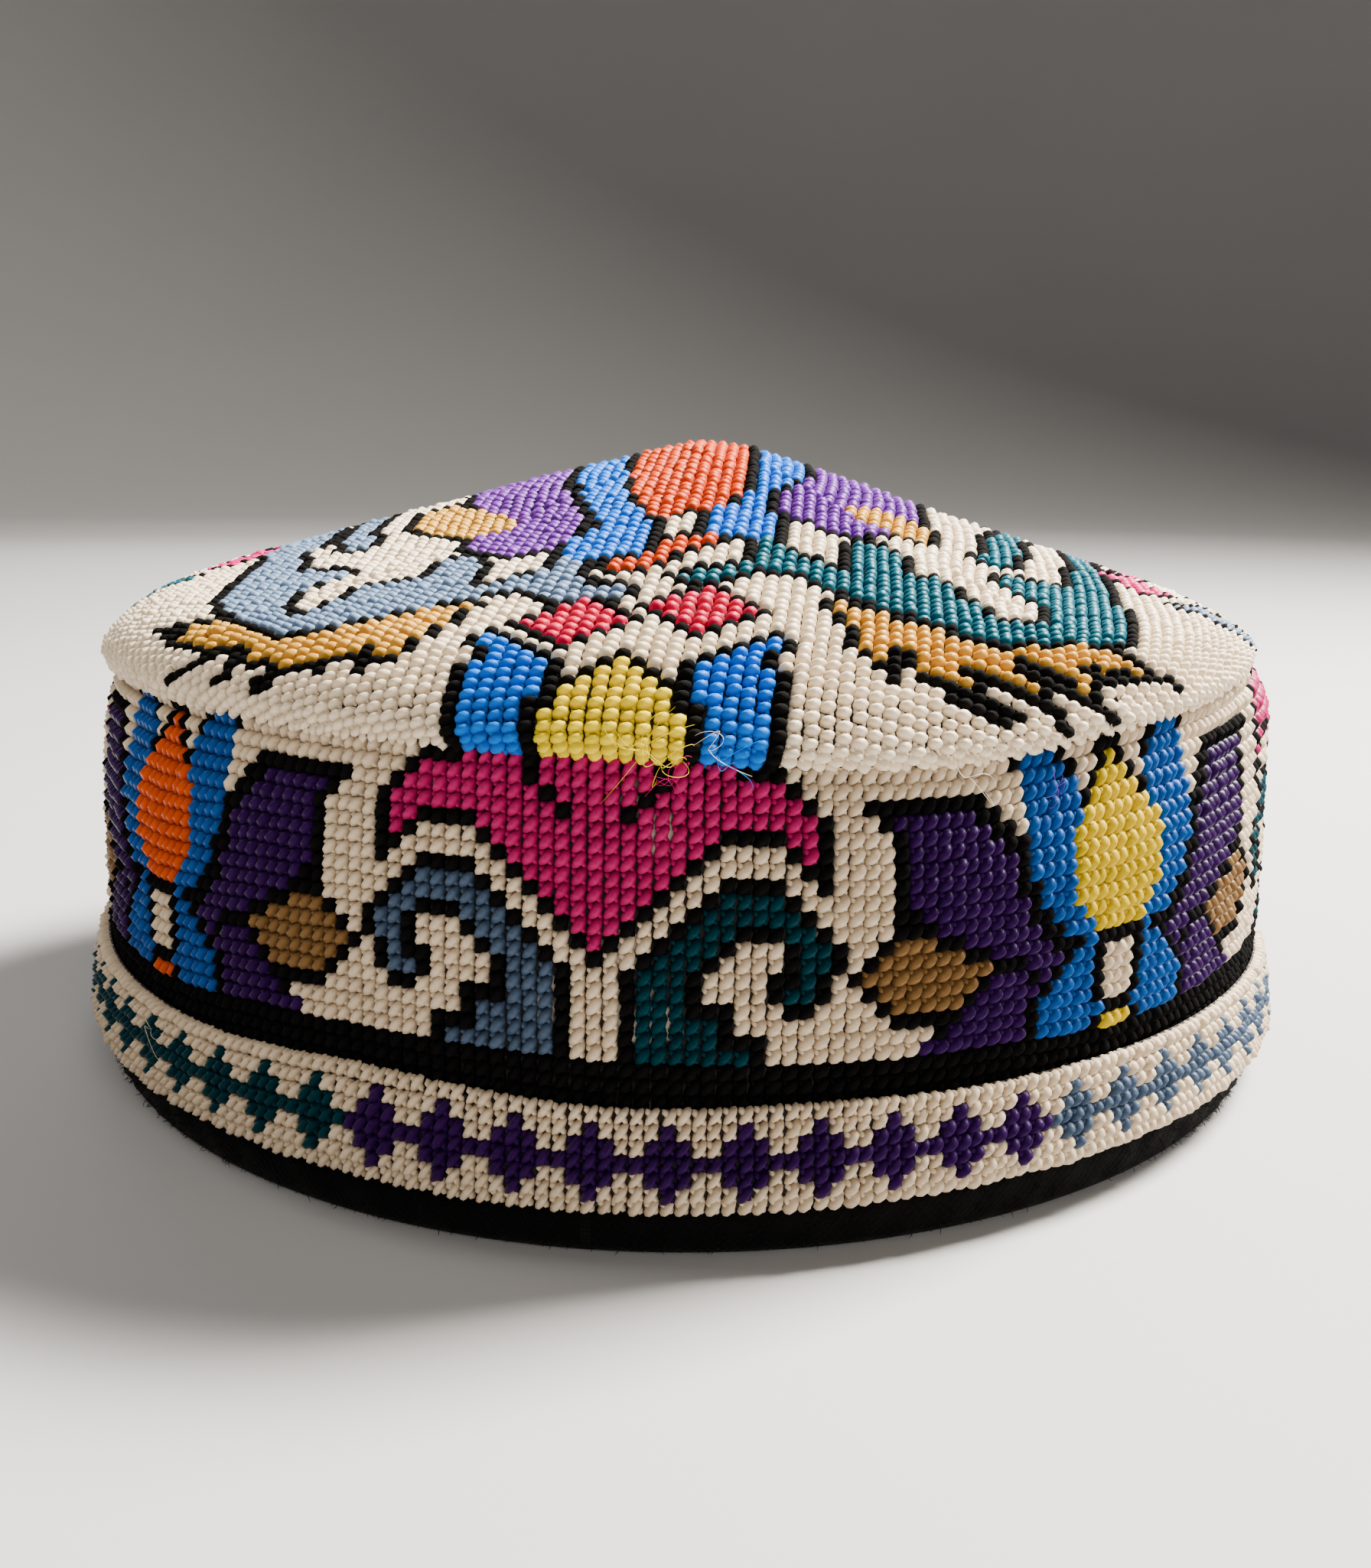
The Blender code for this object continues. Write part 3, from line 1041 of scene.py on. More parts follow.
@dataclass
class TrimBand:
    """The narrow band of diamonds round the foot of the side band."""

    form: CapForm
    columns: int = 320
    rows: int = 7
    diamond_columns: int = 5
    front_place: int = 8
    purple: range = range(5, 15)
    steel: range = range(15, 26)
    canvas_depth: float = 1.3
    foot_gap: float = 0.1
    top_gap: float = 0.05
    section: Points = ((91.6, 6.5), (92.0, 7.3), (92.0, 8.9), (90.6, 17.8), (90.3, 18.6))
    cloth_section: Points = (
        (89.05, 7.3), (89.6, 6.7), (91.6, 6.7), (92.0, 7.5), (92.0, 9.0), (90.6, 17.6),
        (90.3, 18.3), (89.3, 18.4), (89.05, 17.8),
    )
    stitched_points: tuple[int, int] = (2, 7)
    slack: float = 0.06
    seed: int = SEED + 10
    top_waves: tuple[Wave, ...] = (Wave(-18.0, 9.0, 1.5), Wave(17.0, 6.0, 0.4))
    foot_waves: tuple[Wave, ...] = (Wave(3.0, 16.0, -0.6),)

    def surface(self, column: Array, row: Array) -> Array:
        """Place on the trim's outer face of a column and row of its canvas.

        Args:
            column: Column from the front.
            row: Row from the foot.

        Returns:
            One place for each stitch, in millimetres.
        """
        section = np.asarray(self.section)
        turn = column * (math.tau / self.columns)
        low = section[0, 1] + self.foot_gap + lift_at(self.foot_waves, np.degrees(turn))
        high = section[-1, 1] - self.top_gap + lift_at(self.top_waves, np.degrees(turn))
        height = low + (row + 0.5) * (high - low) / self.rows
        return self.form.wall(radius_at(section, height), height, turn)

    def yarn_at(self, column: int, row: int) -> Yarn:
        """The yarn of a stitch, from its diamond and that diamond's colour.

        Args:
            column: Column from the front.
            row: Row from the foot.

        Returns:
            Its yarn, in colours that come twice a round.
        """
        half, middle = self.diamond_columns // 2, self.rows // 2
        diamond, inside = divmod(column + half, self.diamond_columns)
        if abs(inside - half) > half - abs(row - middle):
            return Yarn.CREAM
        place = (diamond + self.front_place) % (self.columns // self.diamond_columns // 2)
        if place in self.purple:
            return Yarn.PURPLE
        return Yarn.STEEL if place in self.steel else Yarn.TEAL

    def build(self, materials: Sequence[bpy.types.Material]) -> list[Piece]:
        """Make the trim's cloth and its stitches.

        Args:
            materials: The yarns' materials.

        Returns:
            The trim's pieces.
        """
        grid = np.meshgrid(np.arange(self.columns), np.arange(self.rows))
        cells = [part.ravel() for part in grid]
        yarns = [self.yarn_at(int(c), int(r)).value for c, r in zip(*cells)]
        field = StitchField("trim_stitches", self.surface, self.canvas_depth, TRIM_STITCH,
                            slack=self.slack, full_yarn=Yarn.PURPLE)
        stitches = dress(field.lay(*cells, np.array(yarns), self.seed), *materials)
        section = np.array(self.cloth_section)
        section[slice(*self.stitched_points), 0] -= self.canvas_depth
        cloth = turned_cloth("trim_band_cloth", section, section[:0], self.form.wall, self.columns)
        dress(cloth, PAINTED_SHADE_CANVAS.material())
        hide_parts("trim_band")
        return [cloth, stitches]


def outline(text: str) -> Points:
    """The corners of a line, written as sideways,onward pairs with blanks between them."""
    return tuple(tuple(map(float, corner.split(","))) for corner in text.split())


@dataclass(frozen=True)
class Patch:
    """One coloured shape of the crown's chart.

    Its outline is in stitches from the apex: sideways, and towards the front or the back.
    """

    yarn: Yarn
    corners: Points


CROWN_PATCHES = (
    # the long almond over the apex, and the slanting bar below its stem
    Patch(Yarn.ORANGE, outline(
        "-5.2,0 4.7,0 5,5 4.7,10 4.4,15 3.2,18.5 1.5,19.8 0,20.2 -1.2,21.3 -2,20.5 -3.2,17.5 "
        "-4.3,14 -5,10 -5.3,5")),
    Patch(Yarn.ORANGE, outline(
        "-3.6,29.4 -3.4,31.2 -0.8,31.4 0.6,29.6 2,27.6 3.9,25.6 3.4,24.6 1.6,25.2 -0.4,27.4 "
        "-1.6,29.2")),
    # right of the front
    Patch(Yarn.BLUE, outline(
        "5.6,0 9.2,0 9.4,5 8.6,9 7,13 6.4,17 7.6,18.6 7.6,24 2.7,24 2.7,19.5 4.4,17.2 5.4,13 "
        "5.8,8")),
    Patch(Yarn.PURPLE, outline(
        "10.2,0 19.5,0 19.2,5 18.6,12 17,15.5 14.5,18.8 10.5,18.8 8.6,18 7.4,15.6 8,12.5 9.6,8.5 "
        "10.2,4.5")),
    Patch(Yarn.TAN, outline(
        "12.8,11.6 14.5,9.6 17.5,8.8 19.6,9.6 20.6,12 20.4,15.5 18.5,14.6 15.2,14.2 13.4,13")),
    Patch(Yarn.TEAL, outline(
        "1.3,33.9 1.5,32.6 4.5,31.4 5.4,30 6.5,29.8 6.2,24 7.2,23.6 8,25.2 9.5,26.5 11.5,27.6 "
        "13.9,28.2 14.2,24 13.4,22.6 14.6,20.6 16.2,20.4 17.8,21.5 17.9,27 19,26 20.5,25.4 "
        "22.2,25.6 22.4,28.6 24.4,29.2 25.2,31.8 26.6,31.4 28.4,30.2 29.4,29 29.4,24 27.6,22 "
        "26,21.2 25.8,19.6 27,17.4 30,16.4 32.4,15.2 33.2,4 34,0 36,0 35.4,5 34.9,14 36,18 "
        "36.6,23 36.6,28 34,30.2 29.6,33.4 26.4,35.8 23,35.6 17,34.2 12.4,32.2 9.4,30 7.4,30 "
        "6.4,31.6 4.6,33 3,33.9")),
    Patch(Yarn.TEAL, outline(
        "24.6,15.2 25,10 25.8,5 27.4,0 29.4,0 28.4,5 27.8,10 26.6,14.6")),
    Patch(Yarn.TAN, outline(
        "12.2,33 13,34.3 14.6,35 17,35.6 22,36.8 26.6,37 28,35.8 30.6,33.8 33,32 35,31 39,31.2 "
        "36.6,33.4 33.4,35.8 34.6,37.2 33,38 30,37.8 28,38.4 30,39.6 27,40.8 24.8,41.2 24.6,42.4 "
        "22.6,43 20.6,42.8 19.4,41.6 18.6,40.8 18.2,42.6 16.8,42.8 15.4,40.8 14.6,38.8 13.6,36.6")),
    # left of the front
    Patch(Yarn.BLUE, outline(
        "-6.2,0 -10.6,0 -10.3,5 -9.3,10 -7.7,15 -6.4,19 -5.8,21.6 -7.6,23 -7.6,28 -6,28.8 "
        "-1.6,28.8 -1.6,24 -2.2,21 -4.3,16 -5.4,11 -6,5")),
    Patch(Yarn.PURPLE, outline(
        "-11.6,0 -20,0 -19.4,4 -17.4,10 -17.4,16.2 -17.2,18.5 -15.2,21.6 -12.4,24 -9.2,24.6 "
        "-8.2,23 -7.4,20 -8.6,15.4 -9.8,11.5 -11,7")),
    Patch(Yarn.TAN, outline(
        "-23.2,4 -21.4,3.6 -19.2,6 -17.2,9 -14.6,12.6 -13.6,15.4 -15.6,16.2 -18.6,15.2 -21.4,12.4 "
        "-23.4,8.4")),
    Patch(Yarn.STEEL, outline(
        "-1.5,36.2 -1.5,34.8 -4.8,34 -5.4,31 -6.4,28.4 -7.6,27.6 -8.6,30.2 -11,31 -14.4,30.8 "
        "-14,26.8 -15,24.4 -16.4,22 -18.2,21.6 -18.4,27.2 -20,27 -22.8,27.2 -23.2,29.6 -24.6,30.6 "
        "-25.2,33 -26.4,33 -27.8,31.2 -28.6,28.6 -28.2,23.6 -26.2,22 -26.2,20 -28.4,19.2 "
        "-30.8,17.6 -32,12 -31.6,5 -32,0 -37,0 -36.2,6 -35.4,12 -35.6,20 -34.8,25 -33.2,28.8 "
        "-31,32 -28.4,34.8 -26,37.4 -24,37.8 -21,36.6 -16,35 -11.4,33.8 -9.4,33.2 -7.6,34.8 "
        "-6,36.2")),
    Patch(Yarn.STEEL, outline(
        "-26.2,12 -27.2,7 -27.4,0 -29.2,0 -29.2,6 -28.6,12.6 -27.2,14")),
    Patch(Yarn.TAN, outline(
        "-11.6,35.2 -14,35.6 -16,35.8 -19,36.8 -21.6,38 -24.4,39 -26.2,38.6 -28.4,36.4 -30.6,34 "
        "-32.8,31.6 -35.6,30.2 -38.4,29.4 -36.4,32.4 -33.6,35.4 -31,37.4 -28.4,39.6 -25.8,41.8 "
        "-23.2,43.2 -20.6,43 -18.6,42.6 -17,43.8 -15.4,43.2 -14.4,41 -13.4,38.6 -12.4,36.6")),
)

CROWN_BARBS = tuple(outline(text) for text in (
    "38.4,31.6 41.6,30.6", "33.4,35.8 36.6,33.2", "27.5,38.4 31,38.1 37,38.9",
    "23.5,41.4 27.5,40.7 32.8,41.6", "21,43.2 24,43.9 28,43.3", "18.4,41.2 17.8,44.6",
    "-36.6,30.4 -39.8,28.2", "-28.4,39.2 -32,37.2 -37.2,37.6", "-26,41.8 -29,40.2 -32,40.8",
    "-21,43.8 -24,42.9 -27.2,43.8", "-17.6,42.6 -18.1,45.4",
))

FLOWER_RIM = 52
FLOWER = (
    Motif(Yarn.YELLOW, 0, "0-4 0-4 0-3 0-3 0-2 0-1 0"),
    Motif(Yarn.BLUE, 0, "6-9 6-9 6-9 5-9 5-9 5-9 5-9 6-8 7-8 8-9 9"),
    Motif(Yarn.ROSE, 10, "4 3-5 2-6 1-7 2-6 3-5 4"),
)


def inside_outline(corners: Points, x: Array, y: Array) -> Array:
    """Whether each place lies inside a closed outline.

    Args:
        corners: The corners of the outline.
        x: Sideways place.
        y: Place along the gore.

    Returns:
        True for each place inside.
    """
    found = np.zeros(x.shape, dtype=bool)
    for (x0, y0), (x1, y1) in zip(corners, (*corners[1:], corners[0])):
        if y0 == y1:
            continue
        crosses = (y0 > y) != (y1 > y)
        found ^= crosses & (x < (x1 - x0) * (y - y0) / (y1 - y0) + x0)
    return found


def gap_to(start: Sequence[float], end: Sequence[float], x: Array, y: Array) -> Array:
    """How far each place lies from a straight line.

    Args:
        start: Where the line starts.
        end: Where the line ends.
        x: Sideways place.
        y: Place along the gore.

    Returns:
        The gap from the nearest point of the line.
    """
    (x0, y0), (x1, y1) = start, end
    share = ((x - x0) * (x1 - x0) + (y - y0) * (y1 - y0)) / ((x1 - x0) ** 2 + (y1 - y0) ** 2)
    share = np.clip(share, 0.0, 1.0)
    return np.hypot(x - x0 - share * (x1 - x0), y - y0 - share * (y1 - y0))


@dataclass
class Crown:
    """The crown: four gores of cross stitch that meet in its creases, over canvas and lining."""

    form: CapForm
    pitch: float = 1.84
    even_reach: float = 42.0
    tight_pitch: float = 1.56
    reach: float = 55.6
    under_fold: Points = ((86.9, 59.0), (86.2, 58.5), (85.0, 58.3), (82.4, 58.4))
    turn: float = 1.6
    most_widening: float = 1.075
    most_crowding: float = -0.15
    barb_width: float = 0.68
    nudge: float = 1e-4
    canvas_depth: float = 0.98
    canvas_foot: Points = ((86.0, 58.9), (83.9, 58.9))
    cloth_steps: int = 192
    thickness: float = 2.3
    lining_foot: float = 59.2
    slack: float = 0.055
    seed: int = SEED + 20

    def __post_init__(self) -> None:
        """Measure the crown's section, from the apex down to its rim."""
        self.section = smooth_line((*self.form.crown_section, *self.under_fold), 24)
        self.run = along(self.section)

    def spot(self, gore: int, column: Array, row: Array) -> tuple[Array, Array]:
        """Where a cell of one gore lies: its way down the section and its turn from the front.

        The cloth keeps its width right across a gore, and its surplus goes into the creases.

        Args:
            gore: Front, right, back or left gore, as 0 to 3.
            column: Stitches to the side of the front axis.
            row: Stitches towards the back.

        Returns:
            Millimetres from the apex down the section, and the turn in radians.
        """
        axis = gore * math.pi / 2.0
        across = (column * math.cos(axis) + row * math.sin(axis)) * self.pitch
        out = column * math.sin(axis) - row * math.cos(axis)
        down = np.sign(out) * (np.minimum(np.abs(out), self.even_reach) * self.pitch
                               + np.maximum(np.abs(out) - self.even_reach, 0.0) * self.tight_pitch)
        run = np.hypot(across, down)
        radius = np.interp(run, self.run, self.section[:, 0])
        widen = np.clip(run / np.maximum(radius, 1.0), 1.0, self.most_widening)
        return run, axis + np.arctan2(across, down) * widen

    def surface(self, gore: int, column: Array, row: Array) -> Array:
        """Place on the crown's outer face of a column and row counted from the apex.

        Args:
            gore: The gore whose cloth is followed.
            column: Stitches to the side of the front axis.
            row: Stitches towards the back.

        Returns:
            One place for each stitch, in millimetres.
        """
        run, angle = self.spot(gore, column, row)
        radius = np.interp(run, self.run, self.section[:, 0])
        height = np.interp(run, self.run, self.section[:, 1])
        return self.form.crown(radius, height, angle + math.radians(self.turn))

    def patches(self, yarn: Array, x: Array, y: Array) -> None:
        """Chart the large coloured shapes.

        Args:
            yarn: The yarn numbers of the gore, which are filled in.
            x: Steps to the side of each stitch.
            y: Steps of each stitch from the apex towards the rim.
        """
        for patch in CROWN_PATCHES:
            covered = inside_outline(patch.corners, x + self.nudge, y + self.nudge)
            yarn[covered] = patch.yarn.value

    def flower(self, yarn: Array, gore: int, column: Array, row: Array) -> None:
        """Chart the small flower at the middle of the gore's rim.

        Args:
            yarn: The yarn numbers of the gore, which are filled in.
            gore: Front, right, back or left gore, as 0 to 3.
            column: Column of each stitch.
            row: Row of each stitch.
        """
        sideways = gore % 2 == 1
        across, out = np.abs((row, column) if sideways else (column, row))
        swaps = {Yarn.BLUE: Yarn.STEEL if gore == 1 else Yarn.TEAL, Yarn.ROSE: Yarn.PINK}
        for motif in FLOWER:
            uneven = not sideways and motif.yarn is Yarn.ROSE
            rim = FLOWER_RIM - (np.sign(column) if uneven else 0)
            colour = swaps.get(motif.yarn, motif.yarn) if sideways else motif.yarn
            for step, columns in motif.rows():
                level = out == rim - step
                if step == 0:
                    level |= out > FLOWER_RIM
                yarn[np.isin(across, columns) & level] = colour.value

    def dark_lines(self, yarn: Array, x: Array, y: Array) -> None:
        """Chart the black line round every shape, and the barbs at the rim.

        Args:
            yarn: The yarn numbers of the gore, which are filled in.
            x: Steps to the side of each stitch.
            y: Steps of each stitch from the apex towards the rim.
        """
        inked = yarn >= 0
        shifts = [(step, axis) for axis in (0, 1) for step in (-1, 1)]
        near = np.any([np.roll(inked, step, axis) for step, axis in shifts], axis=0)
        yarn[near & ~inked] = Yarn.BLACK.value
        for barb in CROWN_BARBS:
            for start, end in zip(barb, barb[1:]):
                yarn[gap_to(start, end, x, y) < self.barb_width] = Yarn.BLACK.value

    def chart(self, gore: int) -> tuple[Array, Array, Array]:
        """Column, row and yarn number of every stitch of one gore.

        Args:
            gore: Front, right, back or left gore, as 0 to 3.

        Returns:
            The columns, the rows and the yarn numbers.
        """
        side = int(self.reach) + 2
        line = np.arange(-side, side + 1)
        column, row = np.meshgrid(line, line)
        run, angle = self.spot(gore, column.astype(float), row.astype(float))
        even_run = self.even_reach * self.pitch
        steps = np.minimum(run, even_run) / self.pitch
        steps = steps + np.maximum(run - even_run, 0.0) / self.tight_pitch
        x, y = steps * np.sin(angle), np.abs(steps * np.cos(angle))
        yarn = np.full(column.shape, -1)
        self.patches(yarn, x, y)
        self.flower(yarn, gore, column, row)
        self.dark_lines(yarn, x, y)
        yarn[yarn < 0] = Yarn.CREAM.value
        quarter = np.round(np.arctan2(column, -row) / (math.pi / 2.0)).astype(int) % 4
        radius = np.interp(run, self.run, self.section[:, 0])
        spare = (math.pi / 4.0 - np.abs(angle - gore * math.pi / 2.0)) * radius / self.pitch
        keep = (quarter == gore) & (steps < self.reach) & (spare > self.most_crowding)
        return column[keep], row[keep], yarn[keep]

    def build(self, materials: Sequence[bpy.types.Material]) -> list[Piece]:
        """Make the crown's cloth and its four gores of stitches.

        Args:
            materials: The yarns' materials.

        Returns:
            The crown's pieces.
        """
        pieces = [self.cloth()]
        for gore, side in enumerate(SIDES):
            field = StitchField(f"crown_stitches_{side}", partial(self.surface, gore),
                                self.canvas_depth, CROWN_STITCH, slack=self.slack)
            piece = field.lay(*self.chart(gore), self.seed + gore)
            pieces.append(dress(piece, *materials))
        return pieces

    def inward(self, section: Array, depth: float) -> Array:
        """A section moved towards the inside of the cap, square to itself.

        Args:
            section: Radius and height of its points.
            depth: How far it is moved.

        Returns:
            The moved points.
        """
        run = np.gradient(section, axis=0)
        run /= np.hypot(run[:, 0], run[:, 1])[:, None]
        moved = section + depth * np.stack([run[:, 1], -run[:, 0]], axis=1)
        moved[:, 0] = np.maximum(moved[:, 0], LEAST_RADIUS)
        return moved

    def cloth(self) -> Piece:
        """The crown's canvas and lining, sewn as one shell.

        Returns:
            The dressed piece, in place of the crown's solid.
        """
        line = smooth_line(self.form.crown_section, 3)
        line[0, 0] = LEAST_RADIUS
        outer = np.vstack([self.inward(line, self.canvas_depth), self.canvas_foot])
        inner = self.inward(line, self.thickness)
        inner = inner[inner[:, 1] > self.lining_foot][::-1]
        piece = turned_cloth("crown_cloth", outer, inner, self.form.crown, self.cloth_steps)
        dress(piece, PAINTED_SHADE_CANVAS.material(), LINING.material())
        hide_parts("crown")
        return piece


# the way that a thread's first side is turned from, and how blunt its ends are
THREAD_GUIDE = (0.31, 0.17, 0.94)
THREAD_TIP = 0.12


def fine_tubes(name: str, lines: Sequence[Array], width: float) -> Piece:
    """Fine three-sided threads along lines of points, joined as one piece.

    Args:
        name: What the piece is called.
        lines: The points of each thread, in millimetres.
        width: Half width of a thread at its thickest.

    Returns:
        The new piece.
    """
    points, faces, start = [], [], 0
    for line in lines:
        ahead = np.gradient(line, axis=0)
        ahead /= np.linalg.norm(ahead, axis=1, keepdims=True)
        side = np.cross(ahead, THREAD_GUIDE)
        side /= np.linalg.norm(side, axis=1, keepdims=True)
        over = np.cross(ahead, side)
        size = len(line)
        swell = np.sin(np.linspace(THREAD_TIP, math.pi - THREAD_TIP, size))
        taper = width * np.sqrt(swell)[:, None]
        for turn in (0.0, math.tau / 3.0, math.tau / 1.5):
            points.append(line + taper * (math.cos(turn) * side + math.sin(turn) * over))
        for corner in range(3):
            here = start + corner * size + np.arange(size - 1)
            there = start + (corner + 1) % 3 * size + np.arange(size - 1)
            faces.append(np.stack([here, here + 1, there + 1, there], axis=1))
        start += 3 * size
    corners = np.vstack(faces)
    piece = mesh_piece(name, np.vstack(points), corners.ravel(), np.full(len(corners), 4))
    set_layout(piece, np.tile((0.5, 0.5), (start, 1)))
    return piece


@dataclass(frozen=True)
class Nap:
    """The short hairs of a napped cloth, in millimetres.

    The seat and the reach are a least value and the span above it. The rise is how far the tips
    lift and how much that differs.
    """

    hairs: int = 3200
    seat: tuple[float, float] = (0.7, 5.2)
    reach: tuple[float, float] = (0.35, 0.55)
    rise: tuple[float, float] = (-0.15, 0.35)
    lowest_tip: float = 0.15
    drift: float = 0.006
    bend: float = 0.08
    half_width: float = 0.055


@dataclass
class RimBinding:
    """The folded black strip round the lower edge, with its short nap."""

    form: CapForm
    hair: Nap = Nap()
    section: Points = (
        (88.3, 6.1), (88.3, 1.5), (85.5, 1.5), (85.5, 11.0), (84.5, 11.0), (84.5, 1.7),
        (84.8, 0.7), (85.5, 0.0), (87.6, 0.0), (88.5, 0.35), (89.1, 1.3), (89.35, 2.6),
        (89.4, 4.4), (89.3, 6.1),
    )
    upright_points: int = 5
    ripples: tuple[Ripple, ...] = (Ripple(0.2, 61.0, 0.6), Ripple(0.16, 97.0, -0.9))
    rippled_radius: tuple[float, float] = (88.4, 89.2)
    rippled_height: tuple[float, float] = (0.2, 1.2)
    cloth_steps: int = 480
    seed: int = SEED + 40

    def place(self, radius: Array, height: Array, angle: Array) -> Array:
        """Places of the strip's points, with the soft puckers of its outer side.

        Args:
            radius: Radius in the section.
            height: Height in the section.
            angle: Turn from the front, in radians.

        Returns:
            One place for each point, in millimetres.
        """
        ripple = sum(ripple.at(angle, height) for ripple in self.ripples)
        outside = ramp(radius, *self.rippled_radius) * ramp(height, *self.rippled_height)
        return self.form.wall(radius + ripple * outside, height, angle)

    def nap(self) -> Piece:
        """The short hairs that stand off the strip's outer side.

        Returns:
            The piece of all hairs.
        """
        hair = self.hair
        draw = np.random.default_rng(self.seed)
        angle = draw.random(hair.hairs) * math.tau
        height = hair.seat[0] + hair.seat[1] * draw.random(hair.hairs)
        radius = radius_at(np.asarray(self.section)[-self.upright_points:], height)
        foot = self.place(radius, height, angle)
        drift = draw.normal(0.0, hair.drift, hair.hairs)
        reach = hair.reach[0] + hair.reach[1] * draw.random(hair.hairs)
        rise = draw.normal(*hair.rise, hair.hairs)
        high = np.maximum(height + rise, hair.lowest_tip)
        tip = self.form.wall(radius + reach, high, angle + drift)
        middle = 0.5 * (foot + tip) + draw.normal(0.0, hair.bend, (hair.hairs, 3))
        lines = [np.stack(line) for line in zip(foot, middle, tip)]
        return fine_tubes("rim_binding_nap", lines, hair.half_width)

    def build(self) -> list[Piece]:
        """Make the binding and its nap.

        Returns:
            The binding's pieces.
        """
        section = np.asarray(self.section)
        cloth = BLACK_CLOTH.material()
        piece = turned_cloth("rim_binding_fold", section, section[:0], self.place, self.cloth_steps)
        dress(piece, cloth)
        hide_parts("rim_binding")
        return [piece, dress(self.nap(), cloth)]


@dataclass(frozen=True)
class LooseEnd:
    """A tuft of loose fibres: where it sits on the cap, how far it spreads and its yarn."""

    yarn: Yarn
    azimuth: float
    radius: float
    height: float
    spread: float
    count: int


LOOSE_ENDS = (
    LooseEnd(Yarn.YELLOW, 3.4, 89.0, 60.6, 2.3, 10),
    LooseEnd(Yarn.YELLOW, 4.8, 88.6, 58.8, 2.1, 5),
    LooseEnd(Yarn.PINK, 5.6, 88.2, 57.0, 1.4, 9),
    LooseEnd(Yarn.BLUE, 8.6, 89.2, 60.4, 1.7, 3),
    LooseEnd(Yarn.CREAM, 8.0, 89.0, 61.0, 2.0, 3),
    LooseEnd(Yarn.CREAM, 28.0, 88.6, 58.0, 1.8, 3),
    LooseEnd(Yarn.PURPLE, 37.4, 87.6, 54.6, 1.0, 6),
    LooseEnd(Yarn.CREAM, -42.0, 92.6, 16.4, 2.2, 3),
    LooseEnd(Yarn.BLUE, 151.0, 88.9, 60.0, 1.8, 5),
)


@dataclass
class LooseThreads:
    """The fine fibres that have worked loose from the stitches.

    The swing and the stand are shares of a tuft's spread: a least value and the span above it.
    """

    form: CapForm
    half_width: float = 0.035
    steps: int = 16
    swing: tuple[float, float] = (0.7, 0.9)
    turns: tuple[float, float] = (0.25, 0.85)
    drift: float = 0.6
    stand: float = 0.35
    least_stand: float = 0.6
    shade: float = 0.8
    seed: int = SEED + 60

    def curl(self, draw: np.random.Generator, end: LooseEnd) -> Array:
        """One fibre's line, from the cloth out in a loose curl and back.

        Args:
            draw: Source of the curl's small differences.
            end: The tuft it belongs to.

        Returns:
            Its points, in millimetres.
        """
        t = np.linspace(0.0, 1.0, self.steps)
        swing = end.spread * (self.swing[0] + self.swing[1] * draw.random())
        phase = math.tau * draw.random(2)
        turns = draw.uniform(*self.turns, 2)
        drift = draw.normal(0.0, self.drift * end.spread, 2)
        ways = []
        for k, (wave, start) in enumerate(((np.sin, math.sin), (np.cos, math.cos))):
            swung = wave(math.tau * turns[k] * t + phase[k]) - start(phase[k])
            ways.append(drift[k] * t + swing * swung * t)
        stand = self.stand * end.spread * np.sin(math.pi * t) * (self.least_stand + draw.random())
        angle = math.radians(end.azimuth) + ways[0] / end.radius
        return self.form.wall(end.radius + stand, end.height + ways[1], angle)

    def build(self, materials: Sequence[bpy.types.Material]) -> list[Piece]:
        """Make the loose fibres of each yarn.

        Args:
            materials: The yarns' materials.

        Returns:
            One piece of fibres for each yarn that has any.
        """
        draw = np.random.default_rng(self.seed)
        pieces = []
        for yarn in dict.fromkeys(end.yarn for end in LOOSE_ENDS):
            ends = [end for end in LOOSE_ENDS if end.yarn is yarn for _ in range(end.count)]
            lines = [self.curl(draw, end) for end in ends]
            piece = fine_tubes(f"loose_fibres_{yarn.name.lower()}", lines, self.half_width)
            set_shades(piece, np.full(len(piece.data.vertices), self.shade))
            pieces.append(dress(piece, materials[yarn.value]))
        return pieces


@dataclass(frozen=True)
class Lamp:
    """A soft square lamp aimed at the cap, in metres and watts."""

    name: str
    place: tuple[float, float, float]
    size: float
    power: float
    tint: tuple[float, float, float] = (1.0, 0.96, 0.92)
    aim: tuple[float, float, float] = (0.0, 0.0, 0.05)

    def hang(self) -> None:
        """Put the lamp in the scene."""
        light = bpy.data.lights.new(self.name, "AREA")
        light.energy = self.power
        light.size = self.size
        light.color = self.tint
        lamp = link(self.name, light)
        lamp.location = self.place
        ahead = Vector(self.aim) - Vector(self.place)
        lamp.rotation_euler = ahead.to_track_quat("-Z", "Y").to_euler()


